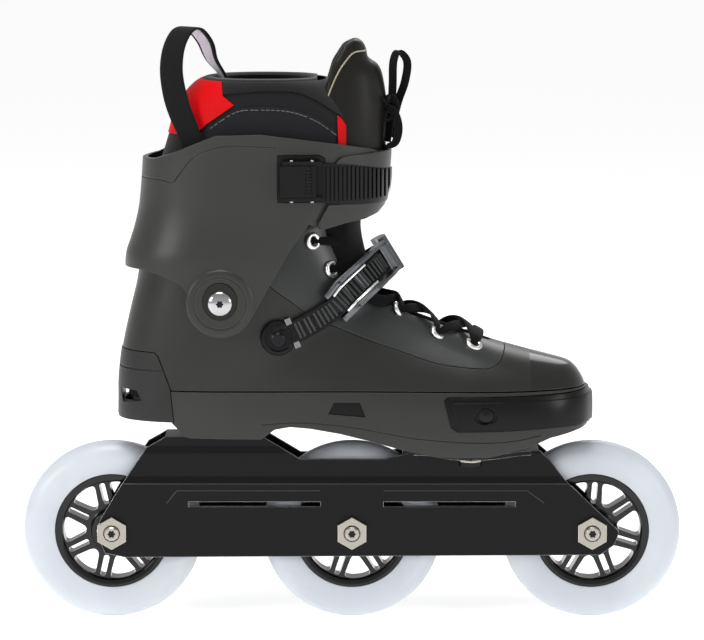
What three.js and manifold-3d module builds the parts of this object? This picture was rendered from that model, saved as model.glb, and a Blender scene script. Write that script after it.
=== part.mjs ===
// A three-wheel inline skate for the right foot: a hard plastic boot with a hinged cuff and two
// ratchet buckles, on a long aluminium frame that carries three 125 mm wheels in one line.
// Millimetres. +X points to the toe, +Y to the inner (medial) side, +Z up. The origin is on the
// floor under the middle wheel. Boot shapes are measured from the seam between shell and sole.

import * as THREE from "three";
import { mergeVertices } from "three/addons/utils/BufferGeometryUtils.js";
import Module from "manifold-3d";

const wasm = await Module();
wasm.setup();

// ---- driving dimensions -------------------------------------------------------------------

const WHEEL_D = 125; // tyre diameter
const TYRE_W = 24; // tyre width
const CROWN_W = 6; // flat running band of the tyre
const HUB_R = 40; // outside of the hub's rim
const HUB_RIM = 5; // thickness of the hub's rim
const HUB_W = 20; // width of the hub's rim
const SPOKE_W = 14; // width of the spokes along the axle
const SPOKE_PAIRS = 7;
const SPOKE_T = 4.8; // one bar of a double spoke
const SPOKE_SLOT = 4.4; // slot between the two bars
const AXLE_PITCH = 167.5; // from axle to axle
const AXLE_D = 8;
const BEARING_D = 22;
const HUB_BOSS_T = 3.5; // wall of the hub round its bearings
const BEARING_W = 7;
const BEARING_SPAN = 24; // over the outer faces of a wheel's two bearings
const TYRE_ROOM = 1.3; // from the tyre to the frame's wall on each side
const WALL_T = 4.2; // frame wall at the axles
const WALL_T_MID = 3.1; // frame wall above the long ridge
const WALL_T_TOP = 2.4; // frame wall along its upper edge
const HEX_FLATS = 19.8; // axle insert across flats
const HEX_T = 3.2; // how far the insert stands out of the wall
const AXLE_HEAD_D = 10.4;
const SEAM_RISE = 41; // from the top of the wheels to the seam between the shell and the sole
const SHELL_T = 3.8; // wall of the boot shell
const FACING_T = 2.6; // thinner wall of the laced facings
const CUFF_T = 3.6; // wall of the cuff
const PIVOT_X = -90; // ankle pivot, from the middle axle
const PIVOT_Z = 63; // ankle pivot, above the seam
const REAR_MOUNT_X = -84; // bolt that holds the frame under the heel
const FRONT_MOUNT_X = 82; // pair of bolts that hold the frame under the ball of the foot
const FRONT_MOUNT_Y = 28;
const MOUNT_BOLT_D = 8;
const PIVOT_BOLT_R = 4;
const STRAP_PIVOT = [-50.5, 37.7]; // anchor of the instep strap, [x, z above the seam]
const GAP = 0.3; // between pieces that rest on each other
const PIN_CLEARANCE = 0.3; // radial room of a bolt in its hole

const AXLE_Z = WHEEL_D / 2;
const SEAM_Z = WHEEL_D + SEAM_RISE;
const AXLES = { rear: -AXLE_PITCH, middle: 0, front: AXLE_PITCH };
const HUB_BOSS_R = BEARING_D / 2 + HUB_BOSS_T;
const WALL_IN = TYRE_W / 2 + TYRE_ROOM;
const WALL_OUT = WALL_IN + WALL_T;
const SIDES = { lateral: -1, medial: 1 };

// ---- materials ----------------------------------------------------------------------------

function paint(color, roughness, metalness = 0) {
  return new THREE.MeshStandardMaterial({ color, roughness, metalness });
}

const URETHANE = paint("#dde1e6", 0.35);
const BLACK_PLASTIC = paint("#1b1b1c", 0.45);
const SHELL_PLASTIC = paint("#434441", 0.5);
const FRAME_METAL = paint("#1d1d1e", 0.42, 0.6);
const BRIGHT_STEEL = paint("#c9c7c1", 0.3, 1);
const DARK_FABRIC = paint("#232323", 0.9);
const FOAM = paint("#3a3a3a", 0.95);
const WEBBING = paint("#18181a", 0.85);
const GUNMETAL = paint("#55565a", 0.4, 0.4);

// ---- shape helpers ------------------------------------------------------------------------

// A closed geometry as a manifold solid, turned the right way out.
function solid(geometry) {
  const loose = geometry.index ? geometry.toNonIndexed() : geometry;
  const bare = new THREE.BufferGeometry();
  bare.setAttribute("position", loose.getAttribute("position"));
  const merged = mergeVertices(bare, 1e-4);
  const mesh = {
    numProp: 3,
    vertProperties: merged.attributes.position.array,
    triVerts: new Uint32Array(merged.index.array),
  };
  const made = new wasm.Manifold(new wasm.Mesh(mesh));
  if (made.volume() > 0) return made;
  mesh.triVerts.reverse();
  return new wasm.Manifold(new wasm.Mesh(mesh));
}

function joined(first, ...others) {
  return others.reduce((whole, other) => whole.add(other), first);
}

function cut(first, ...others) {
  return others.reduce((rest, other) => rest.subtract(other), first);
}

// A manifold solid as a named three.js mesh.
function piece(name, body, material) {
  const mesh = body.getMesh();
  const count = mesh.numProp;
  const corners = mesh.vertProperties.length / count;
  const position = new Float32Array(corners * 3);
  for (let i = 0; i < corners; i += 1) {
    position.set(mesh.vertProperties.subarray(i * count, i * count + 3), i * 3);
  }
  const geometry = new THREE.BufferGeometry();
  geometry.setAttribute("position", new THREE.BufferAttribute(position, 3));
  geometry.setIndex(new THREE.BufferAttribute(new Uint32Array(mesh.triVerts), 1));
  geometry.computeVertexNormals();
  const made = new THREE.Mesh(geometry, material);
  made.name = name;
  return made;
}

function block(x0, x1, y0, y1, z0, z1) {
  const box = new THREE.BoxGeometry(x1 - x0, y1 - y0, z1 - z0);
  return solid(box.translate((x0 + x1) / 2, (y0 + y1) / 2, (z0 + z1) / 2));
}

// A flat outline of [x, z] points, extruded across the skate from y0 to y1.
function sideSlab(points, y0, y1, holes = []) {
  const shape = new THREE.Shape(points.map(([x, z]) => new THREE.Vector2(x, z)));
  for (const hole of holes) {
    shape.holes.push(new THREE.Path(hole.map(([x, z]) => new THREE.Vector2(x, z))));
  }
  const body = new THREE.ExtrudeGeometry(shape, { depth: y1 - y0, bevelEnabled: false });
  return solid(body.rotateX(Math.PI / 2).translate(0, y1, 0));
}

// A plan outline of [x, y] points, extruded upwards from z0 to z1.
function planSlab(points, z0, z1) {
  const shape = new THREE.Shape(points.map(([x, y]) => new THREE.Vector2(x, y)));
  const body = new THREE.ExtrudeGeometry(shape, { depth: z1 - z0, bevelEnabled: false });
  return solid(body.translate(0, 0, z0));
}

// A cross-section of [y, z] points, extruded along the skate from x0 to x1.
function sectionSlab(points, x0, x1) {
  const shape = new THREE.Shape(points.map(([y, z]) => new THREE.Vector2(y, z)));
  const body = new THREE.ExtrudeGeometry(shape, { depth: x1 - x0, bevelEnabled: false });
  const turn = new THREE.Matrix4().makeBasis(
    new THREE.Vector3(0, 1, 0),
    new THREE.Vector3(0, 0, 1),
    new THREE.Vector3(1, 0, 0),
  );
  return solid(body.applyMatrix4(turn).translate(x0, 0, 0));
}

// A profile of [radius, y] points turned about the Y axis, with a flat at the bottom.
function turned(profile, segments, x = 0, y = 0, z = 0) {
  const closed = [...profile, profile[0]].map(([r, along]) => new THREE.Vector2(r, along));
  const body = new THREE.LatheGeometry(closed, segments, Math.PI / segments);
  return solid(body.translate(x, y, z));
}

// A round bar along Y from y0 to y1.
function barY(radius, y0, y1, x, z, segments) {
  return turned([[0, y0], [radius, y0], [radius, y1], [0, y1]], segments, x, 0, z);
}

// A round bar along Z from z0 to z1.
function barZ(radius, z0, z1, x, y, segments) {
  const body = new THREE.CylinderGeometry(radius, radius, z1 - z0, segments);
  return solid(body.rotateX(Math.PI / 2).translate(x, y, (z0 + z1) / 2));
}

// Closed rings of points joined into one body, with both ends capped.
function loft(rings) {
  const count = rings[0].length;
  const corners = rings.flat();
  const index = [];
  for (let ring = 0; ring + 1 < rings.length; ring += 1) {
    for (let i = 0; i < count; i += 1) {
      const a = ring * count + i;
      const b = ring * count + ((i + 1) % count);
      index.push(a, b, a + count, b, b + count, a + count);
    }
  }
  const last = (rings.length - 1) * count;
  const middle = (from) => {
    const sum = new THREE.Vector3();
    corners.slice(from, from + count).forEach((corner) => sum.add(corner));
    return sum.divideScalar(count);
  };
  corners.push(middle(0), middle(last));
  for (let i = 0; i < count; i += 1) {
    const next = (i + 1) % count;
    index.push(corners.length - 2, next, i, corners.length - 1, last + i, last + next);
  }
  const geometry = new THREE.BufferGeometry();
  geometry.setFromPoints(corners);
  geometry.setIndex(index);
  return solid(geometry);
}

// An outline moved outwards by a distance along the bisector at each corner.
function grown(points, distance) {
  const area = points.reduce((sum, [x, z], i) => {
    const [nextX, nextZ] = points[(i + 1) % points.length];
    return sum + x * nextZ - nextX * z;
  }, 0);
  const out = Math.sign(area) * distance;
  return points.map(([x, z], i) => {
    const [px, pz] = points[(i + points.length - 1) % points.length];
    const [nx, nz] = points[(i + 1) % points.length];
    const before = new THREE.Vector2(z - pz, px - x).normalize();
    const after = new THREE.Vector2(nz - z, x - nx).normalize();
    const bisector = before.clone().add(after).normalize();
    const reach = out / Math.max(0.5, bisector.dot(after));
    return [x + bisector.x * reach, z + bisector.y * reach];
  });
}

function arc(x, z, radius, from, to, steps) {
  return Array.from({ length: steps + 1 }, (_, i) => {
    const angle = THREE.MathUtils.degToRad(from + ((to - from) * i) / steps);
    return [x + radius * Math.cos(angle), z + radius * Math.sin(angle)];
  });
}

function mirrored(body) {
  return body.mirror([0, 1, 0]);
}

function power(value, exponent) {
  return Math.sign(value) * Math.abs(value) ** exponent;
}

// ---- the boot's form ----------------------------------------------------------------------

// Rings that fan round the ankle and heel and stand upright at the toe. Each row is the front or
// top point, the back or bottom point, the half width, its share of the way up, and how square
// the top and the bottom of the ring are.
const LAST = [
  [-14, 152, -140, 134, 45, 0.45, 2.2, 2.2],
  [-8, 119, -147, 92, 45, 0.45, 2.2, 2.2],
  [-2, 102, -149, 74, 46, 0.45, 2.2, 2.2],
  [6, 86, -155, 49, 46.5, 0.45, 2.2, 2.2],
  [14, 71, -160.5, 22, 46, 0.45, 2.2, 2.2],
  [22, 60, -162.5, -6, 45.5, 0.43, 2.2, 2.3],
  [30, 57, -158, -31, 45, 0.42, 2.2, 2.6],
  [41, 51.5, -120, -48, 45, 0.42, 2.2, 3],
  [57, 45, -60, -54, 45.5, 0.42, 2.2, 3.4],
  [76, 38, 5, -58, 48, 0.45, 2.2, 3.6],
  [97, 30.5, 65, -58, 51, 0.46, 2.2, 3.6],
  [118, 24.5, 110, -56, 49, 0.46, 2.2, 3.6],
  [138, 19.5, 138, -54, 42.5, 0.46, 2.2, 3.4],
  [152, 15, 152, -50, 33, 0.48, 2.3, 3],
  [160, 6, 160, -42, 22.5, 0.5, 2.3, 2.6],
  [164.7, -6, 164.7, -26, 9, 0.5, 2.2, 2.2],
];
const LAST_CORNERS = 18;
const TOE_ROWS = 4; // the last rows also move forward when the form is grown

function bootForm(offset) {
  const rings = [];
  LAST.forEach(([fx, fz, bx, bz, width, share, top, bottom], t) => {
    const long = new THREE.Vector3(fx - bx, 0, fz - bz);
    const outward = long.clone().normalize().multiplyScalar(offset);
    const toe = Math.max(0, (t - (LAST.length - 1 - TOE_ROWS)) / TOE_ROWS);
    const front = new THREE.Vector3(fx + toe * offset, 0, fz).add(outward);
    const back = new THREE.Vector3(bx + toe * offset, 0, bz).sub(outward);
    const centre = back.clone().lerp(front, share);
    rings.push(
      Array.from({ length: LAST_CORNERS }, (_, i) => {
        const angle = ((i + 0.5) / LAST_CORNERS) * 2 * Math.PI;
        const upper = Math.cos(angle) > 0;
        const along = Math.abs(power(Math.cos(angle), 2 / (upper ? top : bottom)));
        const point = centre.clone().lerp(upper ? front : back, along);
        point.y = (width + offset) * power(Math.sin(angle), 2 / (upper ? top : bottom));
        return point;
      }),
    );
  });
  return loft(rings);
}

// The cuff's form: level rings from the ankle to the calf. Each row is the height, the back, the
// front and the half width.
const CUFF_ROWS = [
  [30, -158, 16, 53],
  [75, -157.5, 12, 53.5],
  [91, -157, 12, 53.5],
  [102, -153.6, 13, 53],
  [114, -150, 16, 52.5],
  [130, -147, 22, 52.5],
  [162, -144.6, 25.5, 53],
  [190, -144, 25, 54],
];

// The padded collar above the cuff, as level rings in the same form.
const COLLAR_ROWS = [
  [118, -138, 14, 45],
  [150, -134, 14, 46],
  [175, -125, 12, 46],
  [192, -121, 6, 44.5],
  [206, -113, -6, 42],
  [214, -104, -20, 38],
];

// The tongue where it stands up in front of the shin.
const TONGUE_ROWS = [
  [118, -60, 9, 33],
  [134, -60, 15, 33],
  [166, -60, 22.5, 33],
  [190, -58, 24, 32],
  [211, -56, 19, 29],
  [226, -54, 13, 25],
  [241, -50, 4, 18],
];

function levelForm(rows, offset, squareness, corners) {
  const rings = rows.map(([z, back, front, width]) => {
    const centre = (back + front) / 2;
    const reach = (front - back) / 2 + offset;
    return Array.from({ length: corners }, (_, i) => {
      const angle = ((i + 0.5) / corners) * 2 * Math.PI;
      const x = centre + reach * power(Math.cos(angle), 2 / squareness);
      const y = (width + offset) * power(Math.sin(angle), 2 / squareness);
      return new THREE.Vector3(x, y, z);
    });
  });
  return loft(rings);
}

const cuffForm = (offset) => levelForm(CUFF_ROWS, offset, 2.3, 20);
const collarForm = (offset) => levelForm(COLLAR_ROWS, offset, 2.3, 16);
const tongueForm = (offset) => levelForm(TONGUE_ROWS, offset, 2.3, 16);

// ---- side outlines, [x, z above the seam] ---------------------------------------------------

const SOLE_HEEL = -33; // flat under the heel, where the frame is bolted
const SOLE_BALL = -45.4; // flat under the ball of the foot
const SOLE_SIDE = [
  [-175, 0], [-175, -22], [-124.2, -22], [-115.5, -31.7], [-112, SOLE_HEEL], [-62.3, SOLE_HEEL],
  [-53.2, -25.9], [-42.7, -24], [-28.9, -25.1], [-8.3, -28.6], [12.4, -33.6], [33, -39.3],
  [46.7, -42.3], [60.4, -44.7], [70.7, SOLE_BALL], [93.3, SOLE_BALL], [101.7, -43.5], [122.5, -37.6],
  [136.6, -31.9], [151, -29.4], [180, -24], [180, 0],
];
const HEEL_BUMPER_SIDE = [
  [-180, 26.1], [-180, -21.7], [-122.9, -21.7], [-125.2, 2], [-133.4, 23.4], [-136.2, 26.1],
];
const HEEL_WINDOW = [[-160.3, -0.8], [-158.6, -10.4], [-145.1, -7.4], [-148.7, -0.8]];
const TOE_BUMPER_SIDE = [
  [180, -1.5], [101.4, -2.8], [65.7, -3.2], [63.7, -5.2], [68.5, -23.3], [72.6, -26.1],
  [101.5, -25.7], [143.5, -24.2], [180, -25.5],
];
const SEAM_LINE = [
  [-65.5, 88.8], [-57.3, 75], [-42.3, 63.3], [-28.7, 53], [-4.8, 41.9], [15.7, 33.6],
  [32.9, 27.8], [60.3, 19.1], [87.8, 16], [94.8, 16.4], [101.8, 20], [105.6, 26.6],
];
const FACING_SIDE = [[-67, 100], ...SEAM_LINE, [106, 60], [-10, 190], [-67, 190]];
const EYELETS = [[-27.4, 104], [-14.4, 84], [4.1, 63.6], [32.6, 52.6], [58.4, 38.7], [83.3, 30.8]];
const EYELET_R = 3;
const BOOT_RIM = [[-200, 90], [-150, 96], [-67, 107], [-35, 115], [-24, 113], [-10, 106], [60, 106]];
const CUFF_SIDE = [
  [-180, 83.7], [-141.5, 83.7], [-128.1, 79.9], [-117.6, 75.6], [-113.5, 71], [-111.5, 66],
  ...arc(PIVOT_X, PIVOT_Z, 24, 195, 320, 8),
  [-55.9, 75.2], [-42.3, 99.1], [-29.3, 116.7], [-20.5, 112.3], [-4.8, 116.4], [8.9, 118.3],
  [18, 121.6], [34, 128], [34, 161.6], [23.5, 162.2], [12.3, 166.9], [-8.1, 170.9],
  [-35.2, 174.8], [-62.3, 178.2], [-92.9, 177.2], [-106.6, 171.4], [-120.6, 165.1],
  [-135, 159.7], [-180, 154],
];
const CUFF_STRAP_SIDE = [[-19, 132], [-19, 158.5], [0, 157], [34, 150.5], [34, 128.5], [0, 130]];

// ---- boot ---------------------------------------------------------------------------------

const FORM = bootForm(0);
const FLOOR_Z = -14; // under side of the shell's floor, inside the sole
const FLOOR_T = 3;
const SOLE_WALL = 4.4;
const TUB_T = 2.6; // wall of the shell where it goes down inside the sole
const BUMPER_T = 1.6; // how deep the heel bumper lies in the boot's form
const BUMPER_PROUD = 0.6;
const FAR = 200; // past every part of the skate

// Everything below the rim of the boot, or a distance further down.
function underRim(drop = 0) {
  const rim = BOOT_RIM.map(([x, z]) => [x, z - drop]);
  return sideSlab([...rim, [200, 40], [200, -80], [-200, -80]], -FAR, FAR);
}

function aboveZ(z) {
  return block(-FAR, FAR, -FAR, FAR, z, FAR * 2);
}

// The open throat between the two laced facings.
function throat() {
  const half = [[98, 0], [94, 6], [60, 9.5], [20, 12], [-45, 15]];
  const plan = [...half, ...half.map(([x, y]) => [x, -y]).reverse()];
  const side = [[120, 8], [60, 18], [20, 38], [-15, 66], [-45, 84], [-45, 190], [120, 190]];
  return planSlab(plan, -20, 200).intersect(sideSlab(side, -FAR, FAR));
}

// Holes along Y through the boot wall at a list of [x, z] places.
function sideHoles(places, radius, segments = 10) {
  return places.map(([x, z]) => barY(radius, -FAR, FAR, x, z, segments));
}

function heelBumper() {
  const window = sideSlab(HEEL_WINDOW, -FAR, FAR);
  const skin = bootForm(BUMPER_PROUD).subtract(bootForm(-BUMPER_T));
  const body = skin.intersect(sideSlab(HEEL_BUMPER_SIDE, -FAR, FAR)).subtract(window);
  return piece("heel_bumper", body, BLACK_PLASTIC);
}

function heelRecess() {
  const skin = bootForm(4).subtract(bootForm(-BUMPER_T - GAP));
  return skin.intersect(sideSlab(grown(HEEL_BUMPER_SIDE, GAP), -FAR, FAR));
}

const TOE_BUMPER_PROUD = 2.6;
const TOE_BUMPER_SUNK = 1.4;
const TOE_SCREW = [91.8, -15.3];
const TOE_SCREW_HEAD_R = 5.4;
const TOE_SCREW_SHANK_R = 2.3;

function toeBumper() {
  const skin = bootForm(TOE_BUMPER_PROUD).subtract(bootForm(-TOE_BUMPER_SUNK));
  const seats = sideHoles([TOE_SCREW], TOE_SCREW_HEAD_R + GAP, 14);
  const body = cut(skin.intersect(sideSlab(TOE_BUMPER_SIDE, -FAR, FAR)), ...seats);
  return piece("toe_bumper", body, BLACK_PLASTIC);
}

function toeRecess() {
  const skin = bootForm(8).subtract(bootForm(-TOE_BUMPER_SUNK - GAP));
  return skin.intersect(sideSlab(grown(TOE_BUMPER_SIDE, GAP), -FAR, FAR));
}

function sole() {
  const outside = FORM.intersect(sideSlab(SOLE_SIDE, -FAR, FAR));
  const pocket = bootForm(-SOLE_WALL).intersect(aboveZ(FLOOR_Z - GAP));
  const window = sideSlab(HEEL_WINDOW, -FAR, FAR);
  const rearHole = barZ(MOUNT_HOLE_R, -60, 0, REAR_MOUNT_X, 0, 10);
  const frontHoles = Object.values(SIDES).map((side) =>
    barZ(MOUNT_HOLE_R, -60, FLOOR_Z - 6, FRONT_MOUNT_X, side * FRONT_MOUNT_Y, 10),
  );
  const screws = sideHoles([TOE_SCREW], TOE_SCREW_SHANK_R + PIN_CLEARANCE, 10);
  const body = cut(outside, pocket, heelRecess(), toeRecess(), window);
  return piece("sole", cut(body, rearHole, ...frontHoles, ...screws), SHELL_PLASTIC);
}

function shell() {
  const upper = FORM.intersect(aboveZ(GAP));
  const lower = bootForm(-SOLE_WALL - GAP).intersect(aboveZ(FLOOR_Z));
  const foot = bootForm(-SOLE_WALL - GAP - TUB_T).intersect(aboveZ(FLOOR_Z + FLOOR_T));
  const ankle = bootForm(-SHELL_T).intersect(aboveZ(GAP + 2));
  const beside = sideSlab(grown(FACING_SIDE, GAP), -FAR, FAR);
  const window = sideSlab(HEEL_WINDOW, -FAR, FAR).intersect(block(-FAR, -145, -FAR, FAR, -20, GAP));
  const pivots = sideHoles([[PIVOT_X, PIVOT_Z]], PIVOT_BOLT_R + PIN_CLEARANCE, 12);
  const anchors = sideHoles([STRAP_PIVOT], ANCHOR_BOLT_R + PIN_CLEARANCE, 10);
  const whole = joined(upper, lower).intersect(underRim());
  const body = cut(whole, foot, ankle, beside, heelRecess(), window);
  return piece("shell", cut(body, ...pivots, ...anchors), SHELL_PLASTIC);
}

function facings() {
  const skin = FORM.subtract(bootForm(-FACING_T)).intersect(underRim());
  const body = cut(skin.intersect(sideSlab(FACING_SIDE, -FAR, FAR)), throat());
  return piece("facings", cut(body, ...sideHoles(EYELETS, EYELET_R, 6)), SHELL_PLASTIC);
}

// ---- soft inside ----------------------------------------------------------------------------

const LINER_OUT = SHELL_T + 3.6; // from the boot's form to the outside of the liner
const LINER_T = 7;
const INSOLE_T = 3;
const INSOLE_Z = FLOOR_Z + FLOOR_T + GAP;
const TONGUE_T = 6;
const TONGUE_HALF = 22;
const TONGUE_RIM = 2; // how far the lower tongue stays below the boot's rim

function insole() {
  const layer = block(-FAR, FAR, -FAR, FAR, INSOLE_Z, INSOLE_Z + INSOLE_T);
  return piece("insole", bootForm(-SOLE_WALL - TUB_T - 2 * GAP).intersect(layer), FOAM);
}

function tongueSpace(extra) {
  const side = [[104, 4], [60, 10], [20, 24], [-15, 50], [-40, 76], [-40, 190], [104, 190]];
  const half = TONGUE_HALF + extra;
  return sideSlab(grown(side, extra), -half, half);
}

function linerFoot() {
  const outside = bootForm(-LINER_OUT).intersect(aboveZ(INSOLE_Z + INSOLE_T + GAP));
  const inside = bootForm(-LINER_OUT - LINER_T).intersect(aboveZ(INSOLE_Z + INSOLE_T + GAP + 3));
  const body = cut(outside.intersect(underRim(8)), inside, tongueSpace(GAP));
  return piece("liner_foot", body, DARK_FABRIC);
}

function tongueLower() {
  const skin = bootForm(-LINER_OUT).subtract(bootForm(-LINER_OUT - TONGUE_T));
  const body = skin.intersect(tongueSpace(0)).intersect(underRim(TONGUE_RIM));
  return piece("tongue_lower", body, DARK_FABRIC);
}

const COLLAR_T = 11;
const COLLAR_RISE = 12; // of the collar above the boot's rim, so that the cuff can lean

function linerCollar() {
  const outside = collarForm(0).subtract(underRim(-COLLAR_RISE));
  const inside = collarForm(-COLLAR_T).add(collarForm(-COLLAR_T).translate([0, 0, 12]));
  const room = tongueForm(GAP + 0.4).intersect(block(-24, FAR, -FAR, FAR, 0, 300));
  const front = block(-4, FAR, -FAR, FAR, 0, 300);
  const body = cut(outside, inside, inside.translate([0, 0, -12]), room, front);
  return piece("liner_collar", body, DARK_FABRIC);
}

function tongueUpper() {
  const side = [
    [-14, 122], [12, 122], [40, 150], [40, 200], [20, 225], [10, 236], [2.8, 240.9],
    [-6.2, 236.1], [-13.8, 223.7], [-18.6, 207.1], [-12, 170],
  ];
  const skin = tongueForm(0).subtract(tongueForm(-10).add(tongueForm(-10).translate([0, 0, 8])));
  const beside = Object.values(SIDES).map((hand) =>
    block(-60, 60, Math.min(hand * 13, hand * 60), Math.max(hand * 13, hand * 60), 100, 134),
  );
  return piece("tongue_upper", cut(skin.intersect(sideSlab(side, -FAR, FAR)), ...beside), DARK_FABRIC);
}

// ---- cuff -----------------------------------------------------------------------------------

const PIVOT_HEAD_R = 8.5;
const PIVOT_BOLT_IN = 40; // inner end of the bolt, from the mid-plane
const BOSS_R = 23;
const BOSS_Y = 54.6; // outer face of the ankle boss
const BOSS_T = 5;
const INSERT_T = 1.8;
const INSERT_PROUD = 0.6;
const INSERT_RX = 11.6;
const INSERT_RZ = 12.6;
const FLAP_GAP = 9; // half the gap between the cuff's front flaps

function cuff() {
  const skin = cuffForm(0).subtract(cuffForm(-CUFF_T));
  const hands = Object.values(SIDES);
  const bosses = hands.map((side) => {
    const [inner, outer] = [side * (BOSS_Y - BOSS_T), side * BOSS_Y];
    return barY(BOSS_R, Math.min(inner, outer), Math.max(inner, outer), PIVOT_X, PIVOT_Z, 20);
  });
  const flaps = block(-20, FAR, -FLAP_GAP, FLAP_GAP, 0, 250);
  const seats = hands.map((side) => ovalInsert(side, GAP));
  const hole = barY(PIVOT_BOLT_R + PIN_CLEARANCE, -FAR, FAR, PIVOT_X, PIVOT_Z, 12);
  const shape = joined(skin.intersect(sideSlab(CUFF_SIDE, -FAR, FAR)), ...bosses);
  return piece("cuff", cut(shape, flaps, ...seats, hole), SHELL_PLASTIC);
}

// The oval plate round the ankle bolt.
function ovalInsert(side, extra = 0) {
  const outline = arc(0, 0, 1, 0, 340, 17).map(([x, z]) => [
    PIVOT_X + x * (INSERT_RX + extra),
    PIVOT_Z + 1.5 + z * (INSERT_RZ + extra),
  ]);
  const inner = BOSS_Y - INSERT_T - extra;
  const outer = BOSS_Y + INSERT_PROUD + extra;
  return sideSlab(outline, side > 0 ? inner : -outer, side > 0 ? outer : -inner);
}

function pivotInsert(name, side) {
  const hole = barY(PIVOT_BOLT_R + PIN_CLEARANCE, -FAR, FAR, PIVOT_X, PIVOT_Z, 12);
  return piece("pivot_insert_" + name, ovalInsert(side).subtract(hole), GUNMETAL);
}

function pivotBolt(name, side) {
  const face = BOSS_Y + INSERT_PROUD + GAP;
  const dome = [[1, 0], [1, 0.8], [0.8, 2.2], [0.45, 2.9], [0, 3.1]];
  const profile = [
    [0, PIVOT_BOLT_IN], [PIVOT_BOLT_R, PIVOT_BOLT_IN], [PIVOT_BOLT_R, face],
    ...dome.map(([share, height]) => [PIVOT_HEAD_R * share, face + height]),
  ];
  const body = turned(profile, 12);
  const placed = (side > 0 ? body : mirrored(body)).translate([PIVOT_X, 0, PIVOT_Z]);
  return piece("pivot_bolt_" + name, placed, BRIGHT_STEEL);
}

// ---- cuff buckle ------------------------------------------------------------------------------

const BUCKLE_IN_Y = 52.75; // back of the cuff buckle, from the mid-plane
const CHEEK_T = 2.6;
const PLATE_T = 1.6; // back plate of either buckle
const CUFF_BUCKLE = { x0: -47, x1: -20, z0: 133.6, z1: 160.4 };
const CHEEK_H = 7;
const CUFF_LEVER_PIN = [-26.5, BUCKLE_IN_Y + 5];
const CUFF_PIN_R = 1;
const LEVER_CLEARANCE = 0.1; // radial room of a buckle's pin in its lever

function cuffBuckleBase() {
  const { x0, x1, z0, z1 } = CUFF_BUCKLE;
  const plate = block(x0, x1, -BUCKLE_IN_Y - PLATE_T, -BUCKLE_IN_Y, z0, z1);
  const low = block(x0, x1, -BUCKLE_IN_Y - CHEEK_H, -BUCKLE_IN_Y, z0, z0 + CHEEK_T);
  const high = block(x0, x1, -BUCKLE_IN_Y - CHEEK_H, -BUCKLE_IN_Y, z1 - CHEEK_T, z1);
  const pin = barZ(CUFF_PIN_R, z0, z1, CUFF_LEVER_PIN[0], -CUFF_LEVER_PIN[1], 10);
  return piece("cuff_buckle_base", joined(plate, low, high, pin), BLACK_PLASTIC);
}

function cuffBuckleLever() {
  const { x0, z0, z1 } = CUFF_BUCKLE;
  const [pinX, pinY] = CUFF_LEVER_PIN;
  const outline = [
    [x0 - 1.5, -pinY - 3.4], [pinX + 2.2, -pinY - 3.4], [pinX + 2.2, -pinY + 2.1],
    [x0 + 4, -pinY + 1.6], [x0 - 1.5, -pinY - 1],
  ];
  const body = planSlab(outline, z0 + CHEEK_T + GAP, z1 - CHEEK_T - GAP);
  const hole = barZ(CUFF_PIN_R + LEVER_CLEARANCE, z0, z1, pinX, -pinY, 10);
  return piece("cuff_buckle_lever", body.subtract(hole), BLACK_PLASTIC);
}

const CUFF_STRAP_T = 3;
const CUFF_STRAP_LIFT = 0.4; // of the strap over the cuff's flap

function cuffStrap() {
  const skin = cuffForm(CUFF_STRAP_LIFT + CUFF_STRAP_T).subtract(cuffForm(CUFF_STRAP_LIFT));
  const front = sideSlab(CUFF_STRAP_SIDE, -FAR, FAR);
  return piece("cuff_strap", skin.intersect(front), BLACK_PLASTIC);
}

// ---- straps and webbing along a path --------------------------------------------------------

// A flat band along points with a chosen outward direction at each, given width and thickness.
// It can be shifted across its path and lifted off it.
function band(points, outward, width, thickness, shift = 0, lift = 0) {
  const rings = points.map((point, i) => {
    const before = points[Math.max(i - 1, 0)];
    const after = points[Math.min(i + 1, points.length - 1)];
    const along = after.clone().sub(before).normalize();
    const across = new THREE.Vector3().crossVectors(along, outward[i]).normalize();
    const up = new THREE.Vector3().crossVectors(across, along).normalize();
    const corner = (side, height) =>
      point.clone().addScaledVector(across, shift + side * width).addScaledVector(up, lift + height);
    return [corner(-0.5, 0), corner(0.5, 0), corner(0.5, thickness), corner(-0.5, thickness)];
  });
  return loft(rings);
}

// A round bar swept along a smooth curve through points.
function swept(points, radius, steps, sides = 8, closed = false) {
  const section = new THREE.Shape();
  section.absarc(0, 0, radius, 0, 2 * Math.PI, false);
  const extrudePath = new THREE.CatmullRomCurve3(points, closed, "centripetal");
  const options = { steps, curveSegments: sides / 2, bevelEnabled: false, extrudePath };
  return solid(new THREE.ExtrudeGeometry(section, options));
}

const vector = (x, y, z) => new THREE.Vector3(x, y, z);

// The place and outward direction where a line first meets a solid.
function surfaceAt(body, from, direction) {
  const ray = new THREE.Raycaster(from, direction.clone().normalize());
  const hit = ray.intersectObject(piece("probe", body, SHELL_PLASTIC))[0];
  return { point: hit.point, outward: hit.face.normal.clone() };
}

function onSide(x, z, side, body = FORM) {
  return surfaceAt(body, vector(x, side * FAR, z), vector(0, -side, 0));
}

// ---- instep strap and buckle ------------------------------------------------------------------

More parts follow.
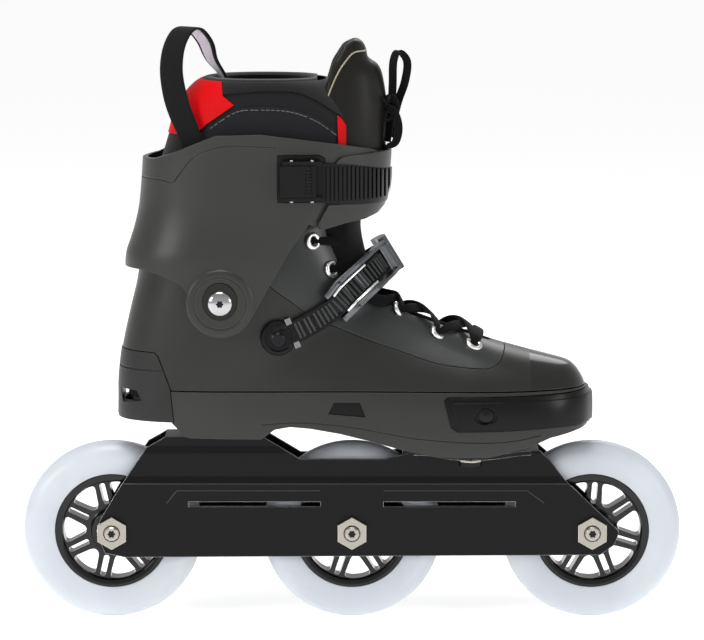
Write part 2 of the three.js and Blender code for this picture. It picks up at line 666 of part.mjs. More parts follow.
const STRAP_W = 16;
const STRAP_T = 2.6;
const INSTEP_SIDE = [[-30, 48], [-16, 57]]; // where the strap lies on the side of the boot
const INSTEP_OVER = [ // where the buckle passes over the laces, with its outward directions
  { point: vector(-4, -37, 66), outward: vector(0.35, -0.85, 0.3) },
  { point: vector(7.5, -28, 76), outward: vector(0.5, -0.78, 0.38) },
  { point: vector(17.5, -15, 84), outward: vector(0.72, -0.5, 0.47) },
  { point: vector(21.5, 0, 87), outward: vector(0.85, 0, 0.52) },
];
const INSTEP_LIFT = 1.4; // of the straps above the boot's side
const INSTEP_BASE_W = 23;
const INSTEP_WALL_T = 2.2;
const INSTEP_WALL_H = 8;
const INSTEP_WALL_STEP = 0.2; // the walls stand this far proud of the plate's edges
const MEDIAL_STRAP_W = 20;

// A row of strap places on one side of the boot, from the anchor to the buckle.
function strapSide(side) {
  return [STRAP_PIVOT, ...INSTEP_SIDE].map(([x, z]) => {
    const { point, outward } = onSide(x, z, side);
    return { point: point.addScaledVector(outward, INSTEP_LIFT), outward };
  });
}

function along(places, width, thickness, shift = 0, lift = 0) {
  const points = places.map((place) => place.point);
  return band(points, places.map((place) => place.outward), width, thickness, shift, lift);
}

const ANCHOR_R = 12;
const ANCHOR_LIFT = 1.8;
const ANCHOR_BOLT_R = 2.5;
const STRAP_TOP = INSTEP_LIFT + PLATE_T + GAP + STRAP_T; // outer face above the boot's side

// The round end of an instep strap.
function anchorDisc(side) {
  const reach = Math.abs(onSide(...STRAP_PIVOT, side).point.y);
  const [inner, outer] = [reach + ANCHOR_LIFT, reach + STRAP_TOP];
  return barY(ANCHOR_R, side > 0 ? inner : -outer, side > 0 ? outer : -inner, ...STRAP_PIVOT, 16);
}

function instepStrap() {
  const places = [...strapSide(-1), ...INSTEP_OVER.slice(0, 2)];
  const ladder = along(places, STRAP_W, STRAP_T, 0, PLATE_T + GAP);
  const holes = sideHoles([STRAP_PIVOT], ANCHOR_BOLT_R + PIN_CLEARANCE, 12);
  return piece("instep_strap", cut(joined(ladder, anchorDisc(-1)), ...holes), BLACK_PLASTIC);
}

function medialStrap() {
  const over = INSTEP_OVER.slice(0, 3).map(({ point, outward }) => ({
    point: point.clone().multiply(vector(1, -1, 1)),
    outward: outward.clone().multiply(vector(1, -1, 1)),
  }));
  const places = [...strapSide(1), ...over];
  const webbing = along(places, MEDIAL_STRAP_W, STRAP_T, 0, PLATE_T + GAP);
  const holes = sideHoles([STRAP_PIVOT], ANCHOR_BOLT_R + PIN_CLEARANCE, 12);
  return piece("medial_strap", cut(joined(webbing, anchorDisc(1)), ...holes), BLACK_PLASTIC);
}

function strapScrew(name, side) {
  const { point } = onSide(...STRAP_PIVOT, side);
  const face = Math.abs(point.y) + STRAP_TOP + GAP;
  const inner = face - 9;
  const head = 5;
  const profile = [
    [0, inner], [ANCHOR_BOLT_R, inner], [ANCHOR_BOLT_R, face], [head, face], [head, face + 1],
    [head - 1.2, face + 1.8], [0, face + 1.8],
  ];
  const body = turned(profile, 12);
  const placed = (side > 0 ? body : mirrored(body)).translate([STRAP_PIVOT[0], 0, STRAP_PIVOT[1]]);
  return piece("strap_screw_" + name, placed, BRIGHT_STEEL);
}

// The buckle's lever lies over the strap's top, in a frame of its own: along the strap's way
// across the foot, and outwards from the shin.
const LEVER_ALONG = vector(0, 1, 0);
const LEVER_OUT = INSTEP_OVER[3].outward.clone().normalize();
const LEVER_PIN = [-3.6, 5.4];
const LEVER_PIN_R = 1.2;
const LEVER_NARROW = 17.6;
const LEVER_WIDE = 26;

function leverPlaced(body) {
  const sideways = LEVER_OUT.clone().cross(LEVER_ALONG);
  const turn = new THREE.Matrix4().makeBasis(LEVER_ALONG, sideways, LEVER_OUT);
  return body.transform(turn.setPosition(INSTEP_OVER[3].point).elements);
}

function instepBuckleLever() {
  const neck = [[-6.6, 2.6], [6, 3.2], [6, 7.4], [-5, 7.6], [-6.6, 6]];
  const grip = [
    [2, 3.4], [10, 2.6], [20, 0.6], [25, -2.4], [26.5, 0], [22, 6], [12, 9.4], [4, 9.6], [2, 8],
  ];
  const narrow = sideSlab(neck, -LEVER_NARROW / 2, LEVER_NARROW / 2);
  const wide = sideSlab(grip, -LEVER_WIDE / 2, LEVER_WIDE / 2);
  const hole = barY(LEVER_PIN_R + LEVER_CLEARANCE, -FAR, FAR, ...LEVER_PIN, 10);
  const body = leverPlaced(joined(narrow, wide).subtract(hole));
  return piece("instep_buckle_lever", body, BLACK_PLASTIC);
}

function instepBuckleBase() {
  const places = INSTEP_OVER;
  const plate = along(places, INSTEP_BASE_W, PLATE_T);
  const wallShift = (INSTEP_BASE_W - INSTEP_WALL_T) / 2 + INSTEP_WALL_STEP;
  const walls = [-1, 1].map((side) =>
    along(places, INSTEP_WALL_T, INSTEP_WALL_H, side * wallShift, INSTEP_WALL_STEP),
  );
  const pinHalf = INSTEP_BASE_W / 2 - 1;
  const pin = leverPlaced(barY(LEVER_PIN_R, -pinHalf, pinHalf, ...LEVER_PIN, 10));
  return piece("instep_buckle_base", joined(plate, ...walls, pin), GUNMETAL);
}

// ---- laces and pull loop ------------------------------------------------------------------------

const LACE_R = 1.6;
const LACE_LIFT = LACE_R + 2.1; // of the lace's middle above the facings

// A place on the lacing: part of the way from one eyelet row to the next, and across the throat
// from -1 at the lateral eyelet to 1 at the medial one.
function lacePoint(row, across, lift) {
  const at = Math.min(Math.floor(row), EYELETS.length - 2);
  const f = row - at;
  const [x0, z0] = EYELETS[at];
  const [x1, z1] = EYELETS[at + 1];
  const x = x0 + (x1 - x0) * f;
  const z = z0 + (z1 - z0) * f;
  const reach = onSide(x, z, 1).point.y;
  const out = vector(z0 - z1, 0, x1 - x0).normalize();
  const from = vector(x, across * reach, z).addScaledVector(out, 60);
  const { point, outward } = surfaceAt(FORM, from, out.clone().negate());
  return point.addScaledVector(outward, lift);
}

// One lace, laced from the toe: a straight bar below, then both halves crossing at each row.
function lacePoints() {
  const rows = EYELETS.length - 1;
  const half = (side, lift) => {
    const points = [];
    for (let row = rows; row > 0; row -= 1) {
      points.push(lacePoint(row, side, LACE_LIFT), lacePoint(row - 0.25, side * 0.5, LACE_LIFT));
      points.push(lacePoint(row - 0.5, 0, lift), lacePoint(row - 0.75, -side * 0.5, LACE_LIFT));
      side = -side;
    }
    points.push(lacePoint(0, side, LACE_LIFT));
    return points;
  };
  const low = half(-1, LACE_LIFT);
  const high = half(1, LACE_LIFT + 2 * LACE_R + GAP);
  return [...low.reverse(), lacePoint(rows, 0, LACE_LIFT), ...high];
}

function laces() {
  return piece("laces", swept(lacePoints(), LACE_R, 62), WEBBING);
}

const LOOP_PATH = [
  [23, -5, 169], [26, -3, 190], [27, -2, 208], [27.5, -1, 224], [31, 0, 231], [37, 0.5, 224],
  [35.5, 1, 210], [30.5, 2.5, 195], [25, 5, 172],
];

function laceLoop() {
  const points = LOOP_PATH.map(([x, y, z]) => vector(x + 1, y, z));
  return piece("lace_loop", swept(points, LACE_R, 18), WEBBING);
}

const PULL_W = 20;
const PULL_T = 1.8;
const PULL_PATH = [ // the webbing's middle line and the direction of its width in plan
  [-108, -36.4, 168, -37], [-112, -36, 180, -37], [-118, -32, 194, -37], [-122, -27, 208, -37],
  [-123.5, -23, 222, -38], [-121.5, -18, 236, -40], [-116, -12, 246, -42], [-109, -5, 247, -46],
  [-101.5, 0, 238, -52], [-97, 2, 226, -62], [-89, 2, 214, -74], [-87, 2, 203, -80],
];

function pullLoop() {
  const points = PULL_PATH.map(([x, y, z]) => vector(x, y, z));
  const outward = points.map((_, i) => {
    const before = points[Math.max(i - 1, 0)];
    const after = points[Math.min(i + 1, points.length - 1)];
    const turn = THREE.MathUtils.degToRad(PULL_PATH[i][3]);
    return vector(Math.cos(turn), Math.sin(turn), 0).cross(after.clone().sub(before)).normalize();
  });
  return piece("pull_loop", band(points, outward, PULL_W, PULL_T), WEBBING);
}

// ---- frame ------------------------------------------------------------------------------------

// Heights in the frame are measured from the axles.
const WHEEL_TOP = WHEEL_D / 2;
const FRAME_LOW = -17.5; // lower edge of the side walls
const WALL_TOP = WHEEL_TOP - 11; // upper edge beside the middle wheel
const REAR_TOP = WHEEL_TOP + 5.4; // upper edge under the heel
const HEEL_PAD = WHEEL_TOP + SEAM_RISE + SOLE_HEEL - GAP;
const BALL_PAD = WHEEL_TOP + SEAM_RISE + SOLE_BALL - GAP;
const WING_T = 3;
const HEEL_BLOCK_LOW = WHEEL_TOP - 4;
const RIDGE = [WHEEL_TOP - 28.4, WHEEL_TOP - 22.7]; // long chamfer
const UPPER_RIDGE = [WHEEL_TOP - 6.5, WHEEL_TOP - 1.2]; // short chamfer under the heel
const SLOT = { near: 53.5, far: 145.5, low: 18.5, high: 21.9 }; // near and far from the outer axles
const MOUNT_HOLE_R = MOUNT_BOLT_D / 2 + PIN_CLEARANCE;
const WASHER_T = 1.4;
const BOLT_REACH = WHEEL_TOP + SEAM_RISE - 24; // tip of the mounting bolts, inside the sole

function frameSide() {
  const rear = AXLES.rear;
  const front = AXLES.front;
  return [
    [rear - 10.4, -1.7], [rear - 8.2, 9], [rear + 4.5, 30.2], [rear + 24.2, REAR_TOP - 8.1],
    [rear + 33.9, REAR_TOP - 2.7], [rear + 37.4, REAR_TOP - 0.4], [REAR_MOUNT_X + 21.4, REAR_TOP],
    [REAR_MOUNT_X + 47.8, WALL_TOP + 0.3], [FRONT_MOUNT_X - 59, WALL_TOP],
    [FRONT_MOUNT_X - 34.8, BALL_PAD], [front - 36.9, BALL_PAD], [front - 29.8, WALL_TOP],
    [front - 19.2, WALL_TOP - 14.2], [front + 18.1, 1.8], [front + 18.8, -0.3], [front + 15.4, -8.8],
    [front + 5.7, -15.9], [rear + 9, FRAME_LOW], [rear - 5, -14.5],
  ];
}

function frameWall(side) {
  const mid = WALL_IN + WALL_T_MID;
  const top = WALL_IN + WALL_T_TOP;
  const [r0, r1] = RIDGE;
  const [u0, u1] = UPPER_RIDGE;
  const section = [
    [WALL_IN, FRAME_LOW - 5], [WALL_OUT, FRAME_LOW - 5], [WALL_OUT, r0], [mid, r1], [mid, u0],
    [top, u1], [top, REAR_TOP + 10], [WALL_IN, REAR_TOP + 10],
  ].map(([y, z]) => [side * y, z]);
  const length = AXLE_PITCH + 40;
  const wall = sectionSlab(side > 0 ? section : section.reverse(), -length, length);
  return wall.intersect(sideSlab(frameSide(), -FAR, FAR));
}

function frameSlots() {
  return [AXLES.rear, -AXLES.front].flatMap((axle, end) => {
    const slot = block(axle + SLOT.near, axle + SLOT.far, -FAR, FAR, SLOT.low, SLOT.high);
    return end === 0 ? [slot] : [slot.mirror([1, 0, 0])];
  });
}

function frame() {
  const walls = Object.values(SIDES).map(frameWall);
  const inside = WALL_IN + 1;
  const heelX = [REAR_MOUNT_X - 46, REAR_MOUNT_X + 21];
  const heelBlock = block(...heelX, -inside, inside, HEEL_BLOCK_LOW, REAR_TOP - 0.4);
  const heelPad = block(REAR_MOUNT_X - 27, heelX[1], -13, 13, HEEL_BLOCK_LOW + 1, HEEL_PAD);
  const wingTip = FRONT_MOUNT_Y + 8.5;
  const wingHalf = [
    [-47, inside], [-30, 19], [-16, 33], [-9, wingTip], [10, wingTip], [17, 33], [36, 19], [48, inside],
  ].map(([x, y]) => [FRONT_MOUNT_X + x, y]);
  const plan = [...wingHalf, ...wingHalf.map(([x, y]) => [x, -y]).reverse()];
  const wing = planSlab(plan, BALL_PAD - WING_T, BALL_PAD);
  const body = joined(...walls, heelBlock, heelPad, wing);
  const axleHoles = Object.values(AXLES).map((x) =>
    barY(INSERT_BOSS_R + AXLE_SEAT, -FAR, FAR, x, 0, 12),
  );
  const rearHole = barZ(MOUNT_HOLE_R, HEEL_BLOCK_LOW - 11, HEEL_PAD + 8, REAR_MOUNT_X, 0, 10);
  const frontHoles = Object.values(SIDES).map((side) =>
    barZ(MOUNT_HOLE_R, BALL_PAD - 10, BALL_PAD + 10, FRONT_MOUNT_X, side * FRONT_MOUNT_Y, 10),
  );
  const holes = [...axleHoles, rearHole, ...frontHoles, ...frameSlots()];
  return piece("frame", cut(body, ...holes), FRAME_METAL);
}

function mountBolt(name, x, y, headZ) {
  const head = barZ(MOUNT_BOLT_D, headZ - 3, headZ, x, y, 12);
  const shank = barZ(MOUNT_BOLT_D / 2, headZ - 1, BOLT_REACH, x, y, 10);
  return piece("mount_bolt_" + name, joined(head, shank), BRIGHT_STEEL);
}

function mountWasher(name, y) {
  const top = BALL_PAD - WING_T - GAP;
  const ring = barZ(MOUNT_BOLT_D + 1, top - WASHER_T, top, FRONT_MOUNT_X, y, 14);
  const hole = barZ(MOUNT_HOLE_R, top - 5, top + 5, FRONT_MOUNT_X, y, 10);
  return piece("mount_washer_" + name, ring.subtract(hole), BRIGHT_STEEL);
}

function toeScrew(name, side) {
  const { point } = onSide(...TOE_SCREW, side, bootForm(-TOE_BUMPER_SUNK));
  const face = Math.abs(point.y) + 2 * GAP;
  const profile = [
    [0, face - 2.6], [TOE_SCREW_SHANK_R, face - 2.6], [TOE_SCREW_SHANK_R, face],
    [TOE_SCREW_HEAD_R, face], [TOE_SCREW_HEAD_R, face + 1.2], [0, face + 2],
  ];
  const body = turned(profile, 14);
  const placed = (side > 0 ? body : mirrored(body)).translate([TOE_SCREW[0], 0, TOE_SCREW[1]]);
  return piece("toe_screw_" + name, placed, BLACK_PLASTIC);
}

// ---- wheels -----------------------------------------------------------------------------------

const TYRE_SEGMENTS = 28;
const HUB_SEGMENTS = 21;
const BORE_SEGMENTS = 14;
const INSERT_BOSS_R = AXLE_D / 2 + 2.5;
const SPACER_T = 2;
const SEAT_CLEARANCE = 0.05; // radial, of a bearing in its hub
const AXLE_CLEARANCE = 0.25; // radial, of the axle in what turns round it
const AXLE_SEAT = 0.1; // radial, of the axle in its inserts and of those in the frame

function tyre(name, x) {
  const flat = 1 / Math.cos(Math.PI / TYRE_SEGMENTS); // corner radius over flat radius
  const half = [
    [WHEEL_D / 2, CROWN_W / 2], [WHEEL_D / 2 - 1.8, 6.6], [WHEEL_D / 2 - 5.5, 10],
    [WHEEL_D / 2 - 12, TYRE_W / 2], [HUB_R + GAP, HUB_W / 2 + 0.4],
  ].map(([r, y]) => [r * flat, y]);
  const profile = [...half.map(([r, y]) => [r, -y]).reverse(), ...half];
  return piece("tyre_" + name, turned(profile, TYRE_SEGMENTS, x), URETHANE);
}

// The outline of a square ring between two radii, from y0 to y1.
function ringProfile(inner, outer, y0, y1) {
  return [[inner, y0], [outer, y0], [outer, y1], [inner, y1]];
}

// One window of the hub: an opening between two spoke pairs, with rounded corners.
function hubWindow(inner, outer, halfInner, halfOuter) {
  return [
    [inner, halfInner], [outer - 4, halfOuter], [outer - 0.8, halfOuter - 2.4],
    [outer - 0.8, 2.4 - halfOuter], [outer - 4, -halfOuter], [inner, -halfInner],
  ];
}

function hub(name, x, turn) {
  const rim = HUB_R - HUB_RIM;
  const disc = barY(rim + 1, -SPOKE_W / 2, SPOKE_W / 2, 0, 0, HUB_SEGMENTS);
  const ring = turned(ringProfile(rim, HUB_R, -HUB_W / 2, HUB_W / 2), HUB_SEGMENTS);
  const seat = BEARING_D / 2 + SEAT_CLEARANCE;
  const spacing = BEARING_SPAN / 2 - BEARING_W - 0.1;
  const bossHalf = BEARING_SPAN / 2 - 0.6;
  const boss = barY(HUB_BOSS_R, -bossHalf, bossHalf, 0, 0, BORE_SEGMENTS);
  const step = (2 * Math.PI) / SPOKE_PAIRS;
  const window = hubWindow(HUB_BOSS_R + 3, rim - 0.4, 2, 9.4);
  const half = SPOKE_SLOT / 2;
  const slot = [
    [HUB_BOSS_R + 3.6, -half], [rim - 0.6, -half], [rim - 0.6, half], [HUB_BOSS_R + 3.6, half],
  ];
  const openings = [];
  for (let i = 0; i < SPOKE_PAIRS; i += 1) {
    openings.push(spun(slot, turn + i * step), spun(window, turn + (i + 0.5) * step));
  }
  const bore = barY(BEARING_D / 2 - 1.6, -FAR, FAR, 0, 0, BORE_SEGMENTS);
  const seats = [[-FAR, -spacing], [spacing, FAR]].map(([y0, y1]) =>
    barY(seat, y0, y1, 0, 0, BORE_SEGMENTS),
  );
  const body = cut(joined(cut(disc, ...openings), ring, boss), bore, ...seats);
  return piece("hub_" + name, body.translate([x, 0, 0]), BLACK_PLASTIC);
}

function spun(outline, angle) {
  const points = outline.map(([x, z]) => [
    x * Math.cos(angle) - z * Math.sin(angle),
    x * Math.sin(angle) + z * Math.cos(angle),
  ]);
  return sideSlab(points, -FAR, FAR);
}

function bearing(name, x, side) {
  const face = BEARING_SPAN / 2;
  const [y0, y1] = side > 0 ? [face - BEARING_W, face] : [-face, BEARING_W - face];
  const profile = ringProfile(AXLE_D / 2 + AXLE_CLEARANCE, BEARING_D / 2, y0, y1);
  const body = turned(profile, BORE_SEGMENTS, x);
  return piece("bearing_" + name, body, BRIGHT_STEEL);
}

function spacer(name, x) {
  const half = BEARING_SPAN / 2 - BEARING_W - GAP;
  const profile = ringProfile(AXLE_D / 2 + AXLE_CLEARANCE, AXLE_D / 2 + SPACER_T, -half, half);
  return piece("spacer_" + name, turned(profile, 10, x), BRIGHT_STEEL);
}

function axleInsert(name, x, side) {
  const corner = HEX_FLATS / 2 / Math.cos(Math.PI / 6);
  const face = WALL_OUT + GAP;
  const [y0, y1] = side > 0 ? [face, face + HEX_T] : [-face - HEX_T, -face];
  const hex = sideSlab(arc(x, 0, corner, 30, 330, 5), y0, y1);
  const inner = BEARING_SPAN / 2 + GAP;
  const [b0, b1] = side > 0 ? [inner, face + 1] : [-face - 1, -inner];
  const boss = barY(INSERT_BOSS_R, b0, b1, x, 0, 12);
  const hole = barY(AXLE_D / 2 + AXLE_SEAT, -FAR, FAR, x, 0, 10);
  return piece("axle_insert_" + name, cut(joined(hex, boss), hole), BRIGHT_STEEL);
}

function axle(name, x) {
  const face = WALL_OUT + GAP + HEX_T;
  const profile = [
    [0, -face - 0.4], [AXLE_D / 2, -face - 0.4], [AXLE_D / 2, face + GAP], [AXLE_HEAD_D / 2, face + GAP],
    [AXLE_HEAD_D / 2, face + 1.2], [AXLE_HEAD_D / 2 - 1, face + 2], [0, face + 2],
  ];
  return piece("axle_" + name, mirrored(turned(profile, 10)).translate([x, 0, 0]), BRIGHT_STEEL);
}

// ---- assembly ---------------------------------------------------------------------------------

const HUB_TURN = { rear: 180, middle: 277, front: 8.6 }; // degrees to one double spoke of each wheel

const boot = new THREE.Group();
boot.position.z = SEAM_Z;
boot.add(sole(), shell(), facings(), heelBumper(), toeBumper(), insole(), linerFoot(), tongueLower());
boot.add(linerCollar(), tongueUpper(), cuff(), cuffStrap(), cuffBuckleBase(), cuffBuckleLever());
boot.add(instepStrap(), medialStrap(), instepBuckleBase(), instepBuckleLever());
boot.add(laces(), laceLoop(), pullLoop());
for (const [name, side] of Object.entries(SIDES)) {
  boot.add(toeScrew(name, side), pivotInsert(name, side), pivotBolt(name, side), strapScrew(name, side));
}

const chassis = new THREE.Group();
chassis.position.z = AXLE_Z;
chassis.add(frame());
chassis.add(mountBolt("rear", REAR_MOUNT_X, 0, HEEL_BLOCK_LOW - GAP));
for (const [name, side] of Object.entries(SIDES)) {
  const y = side * FRONT_MOUNT_Y;
  chassis.add(mountBolt("front_" + name, FRONT_MOUNT_X, y, BALL_PAD - WING_T - 2 * GAP - WASHER_T));
  chassis.add(mountWasher("front_" + name, y));
}
for (const [name, x] of Object.entries(AXLES)) {
  chassis.add(tyre(name, x), hub(name, x, THREE.MathUtils.degToRad(HUB_TURN[name])));
  chassis.add(spacer(name, x), axle(name, x));
  for (const [sideName, side] of Object.entries(SIDES)) {
    chassis.add(bearing(name + "_" + sideName, x, side));
    chassis.add(axleInsert(name + "_" + sideName, x, side));
  }
}

const skate = new THREE.Group();
skate.add(chassis, boot);

export default skate;
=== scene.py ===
# %% [markdown]
# # A three-wheel inline skate
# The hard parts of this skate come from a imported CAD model: every node has its true size and place.
# Here each one gets its finish, and where a smooth or soft surface is needed a finer piece stands in
# for the faceted node. All sizes below are in millimetres and become metres in one place.

# %% The frame
import math

import bpy
from mathutils import Matrix, Vector


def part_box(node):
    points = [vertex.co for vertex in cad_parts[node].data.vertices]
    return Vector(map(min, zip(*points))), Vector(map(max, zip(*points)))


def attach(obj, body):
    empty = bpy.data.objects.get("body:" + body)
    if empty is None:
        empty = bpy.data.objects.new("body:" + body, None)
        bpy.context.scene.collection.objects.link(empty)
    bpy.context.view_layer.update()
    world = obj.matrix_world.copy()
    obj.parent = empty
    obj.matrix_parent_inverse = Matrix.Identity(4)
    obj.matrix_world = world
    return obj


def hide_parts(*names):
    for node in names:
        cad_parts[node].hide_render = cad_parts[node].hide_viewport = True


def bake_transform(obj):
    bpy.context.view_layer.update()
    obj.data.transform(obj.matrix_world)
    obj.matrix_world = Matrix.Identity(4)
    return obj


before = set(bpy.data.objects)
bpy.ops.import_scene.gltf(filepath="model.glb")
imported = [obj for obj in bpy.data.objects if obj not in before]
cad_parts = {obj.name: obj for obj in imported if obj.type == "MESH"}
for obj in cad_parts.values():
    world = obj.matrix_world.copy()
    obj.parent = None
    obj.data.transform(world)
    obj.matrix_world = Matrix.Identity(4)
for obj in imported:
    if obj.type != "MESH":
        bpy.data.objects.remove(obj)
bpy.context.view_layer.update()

# %% [markdown]
# Blender counts in metres, so a millimetre is a thousandth. Heights of the boot are measured from the
# seam between its shell and its sole, as on a maker's drawing.

# %% Scale and main places
MM = 0.001
SEAM_Z = 166
AXLE_Z = 62.5
AXLES = {"rear": -167.5, "middle": 0.0, "front": 167.5}
SIDES = {"lateral": -1, "medial": 1}
FAR = 250


def at(x, y, z):
    """A point given in millimetres."""
    return Vector((x, y, z)) * MM


# %% [markdown]
# A long lens from a little above shows the skate almost flat from its outer side. It is 189 mm on a
# 36 mm sensor, two and a half metres away.

# %% Camera
CAMERA_DISTANCE = 2550
CAMERA_HEIGHT = 581
CAMERA_PITCH = 8.28
CAMERA_LENS = 189.2
bpy.ops.object.camera_add(
    location=at(0, -CAMERA_DISTANCE, CAMERA_HEIGHT),
    rotation=(math.radians(90 - CAMERA_PITCH), 0, 0),
)
camera = bpy.context.object
camera.data.lens = CAMERA_LENS
camera.data.clip_end = 20
bpy.context.scene.camera = camera
print("camera at", list(camera.location))

# %% [markdown]
# The studio is a pale floor and a white surround. Big soft lamps give the long quiet highlights that
# moulded plastic shows: one above, one at the heel side in front, a weaker one at the toe side and one
# behind.

# %% Studio


def linear(hex_colour, alpha=1.0):
    """An sRGB hex colour as linear light."""
    parts = [int(hex_colour[i : i + 2], 16) / 255 for i in (1, 3, 5)]
    light = [p / 12.92 if p <= 0.04045 else ((p + 0.055) / 1.055) ** 2.4 for p in parts]
    return (*light, alpha)


def lamp(name, place, aim, size, power):
    """A square soft lamp at a place in metres, turned to its aim. Its power is in watts."""
    bpy.ops.object.light_add(type="AREA", location=place)
    made = bpy.context.object
    made.name = name
    made.data.size = size
    made.data.energy = power
    made.rotation_euler = (Vector(aim) - Vector(place)).to_track_quat("-Z", "Y").to_euler()


lamp("lamp_above", (-0.2, -0.35, 1.7), (0, 0, 0.2), 0.9, 15)
lamp("lamp_heel_side", (-1.8, -1.2, 0.9), (0, 0, 0.25), 0.7, 13)
lamp("lamp_toe_side", (1.9, -1.1, 0.7), (0, 0, 0.15), 0.5, 8)
lamp("lamp_back", (0.4, 1.9, 1.5), (0, 0, 0.2), 1.0, 8)

bpy.context.scene.view_settings.view_transform = "Standard"

# %% [markdown]
# A finish is a small network of nodes. One helper adds a node, sets it and links it, and every
# material is built with it.

# %% Node helper


def feed(tree, made, inputs):
    """Fills a node's inputs from values, sockets, or nodes, which give their first output."""
    for key, value in inputs.items():
        if isinstance(value, bpy.types.Node):
            value = value.outputs[0]
        if isinstance(value, bpy.types.NodeSocket):
            tree.links.new(value, made.inputs[key])
        else:
            made.inputs[key].default_value = value


def node(tree, kind, inputs=None, **settings):
    """Adds a shader node with its settings and inputs."""
    made = tree.nodes.new("ShaderNode" + kind)
    for key, value in settings.items():
        setattr(made, key, value)
    feed(tree, made, inputs or {})
    return made


def new_material(name):
    """A material with its Principled shader and nothing else changed."""
    made = bpy.data.materials.new(name)
    made.use_nodes = True
    return made, made.node_tree, made.node_tree.nodes["Principled BSDF"]


# %% [markdown]
# The surround is white at the horizon and dimmer overhead, so that dark plastic keeps its contrast.

# %% Surround
SKY_LOW = 0.62
SKY_HIGH = 0.4
SKY_FADE = (0.1, 0.75)
world = bpy.data.worlds.new("surround")
world.use_nodes = True
sky = world.node_tree
sky_way = node(sky, "TexCoord").outputs["Generated"]
sky_split = node(sky, "SeparateXYZ", {"Vector": sky_way})
sky_level = node(sky, "MapRange", {
    "Value": sky_split.outputs["Z"], "From Min": SKY_FADE[0], "From Max": SKY_FADE[1],
    "To Min": SKY_LOW, "To Max": SKY_HIGH,
})
feed(sky, sky.nodes["Background"], {"Strength": sky_level, "Color": linear("#ffffff")})
bpy.context.scene.world = world

# %% [markdown]
# Moulded plastic takes the grain of its steel mould, which is spark-eroded: a fine even roughness of
# about a tenth of a millimetre. It is drawn a few times coarser, so that it shows. A slow noise makes
# the colour and the gloss wander a little, as they do where the plastic has flowed and been handled.
# Edges are rounded by the mould, and a painted highlight makes them paler.

# %% Moulded plastic
EDGE_ROUND = 0.7
EDGE_SAMPLES = 6
# how much paler the edges are painted: a painted highlight
EDGE_HIGHLIGHT_GAIN = 2.6
FLOW_SIZE = 35
GLOSS_DRIFT = 0.05


def moulded_plastic(
    name, colour, roughness, grain=0.5, depth=0.03, mottle=0.12, cap=None, shine=0.34
):
    """Injection-moulded plastic. A cap is where a glossier stretch begins, [x, z, roughness]."""
    made, tree, shader = new_material(name)
    place = node(tree, "TexCoord").outputs["Object"]
    slow = node(tree, "TexNoise", {"Vector": place, "Scale": 1 / (FLOW_SIZE * MM), "Detail": 3.0})
    tone = node(tree, "MapRange", {"Value": slow, "To Min": 1 - mottle, "To Max": 1 + mottle})
    paint = node(tree, "VectorMath", {0: linear(colour)[:3], "Scale": tone}, operation="SCALE")
    grains = node(tree, "TexNoise", {"Vector": place, "Scale": 1 / (grain * MM), "Detail": 2.0})
    gloss = node(tree, "MapRange", {
        "Value": slow, "To Min": roughness - GLOSS_DRIFT, "To Max": roughness + GLOSS_DRIFT,
    })
    if cap:
        split = node(tree, "SeparateXYZ", {"Vector": place}).outputs
        past = node(tree, "Math", {0: split["X"], 1: cap[0] * MM}, operation="GREATER_THAN")
        high = node(tree, "Math", {0: split["Z"], 1: cap[1] * MM}, operation="GREATER_THAN")
        both = node(tree, "Math", {0: past, 1: high}, operation="MULTIPLY")
        gloss = node(tree, "MapRange", {"Value": both, "To Min": gloss, "To Max": cap[2]})
    edge = node(tree, "Bevel", {"Radius": EDGE_ROUND * MM}, samples=EDGE_SAMPLES)
    flat = node(tree, "NewGeometry").outputs["Normal"]
    match = node(tree, "VectorMath", {0: flat, 1: edge}, operation="DOT_PRODUCT").outputs["Value"]
    # painted highlight: where the bevel normal turns away from the face, at edges, the colour is made
    # paler
    edge_highlight = node(tree, "MapRange", {
        "Value": match, "From Min": 0.99, "From Max": 0.86, "To Min": 1.0, "To Max": EDGE_HIGHLIGHT_GAIN,
    })
    paint = node(tree, "VectorMath", {0: paint, "Scale": edge_highlight}, operation="SCALE")
    bump = node(tree, "Bump", {
        "Height": grains, "Distance": depth * MM, "Strength": 0.6, "Normal": edge,
    })
    feed(tree, shader, {
        "Specular IOR Level": shine, "Base Color": paint, "Roughness": gloss, "Normal": bump,
    })
    return made


SHELL = moulded_plastic("nylon_warm_grey", "#222320", 0.34, cap=(123, 166, 0.14))
CUFF = moulded_plastic("nylon_cuff_grey", "#2c2d2a", 0.34)
SOLE = moulded_plastic("nylon_sole_grey", "#2a2a27", 0.38, grain=0.7)
FACING = moulded_plastic("soft_nylon_facing", "#2f3130", 0.3, grain=0.6)
HEEL_BLACK = moulded_plastic("rubber_heel_grey", "#191a18", 0.42, grain=0.7)
BLACK = moulded_plastic("nylon_black", "#0a0a0b", 0.32, shine=0.2)
GLOSS_BLACK = moulded_plastic(
    "glass_filled_nylon_hub", "#060607", 0.16, grain=0.9, depth=0.01, shine=0.4
)
GREY_TAB = moulded_plastic("nylon_light_grey", "#77797a", 0.4)
# the teeth are black plastic, painted lighter as a painted highlight
TOOTH_BLACK_HIGHLIGHT = moulded_plastic("nylon_tooth_black_painted_highlight", "#2f3031", 0.3)
PIVOT_BROWN = moulded_plastic("acetal_brown_grey", "#181611", 0.3, depth=0.01, shine=0.3)

# %% [markdown]
# Bright parts are plated steel, and the frame is extruded aluminium, milled, blasted and anodised
# black. Turning and milling leave fine lines, which a fine noise gives. Edges are painted paler: on
# the frame they are partly bare metal and partly a painted highlight, on the plated parts a painted
# highlight.

# %% Metals
METAL_EDGE = 0.6
METAL_DRIFT = 0.08


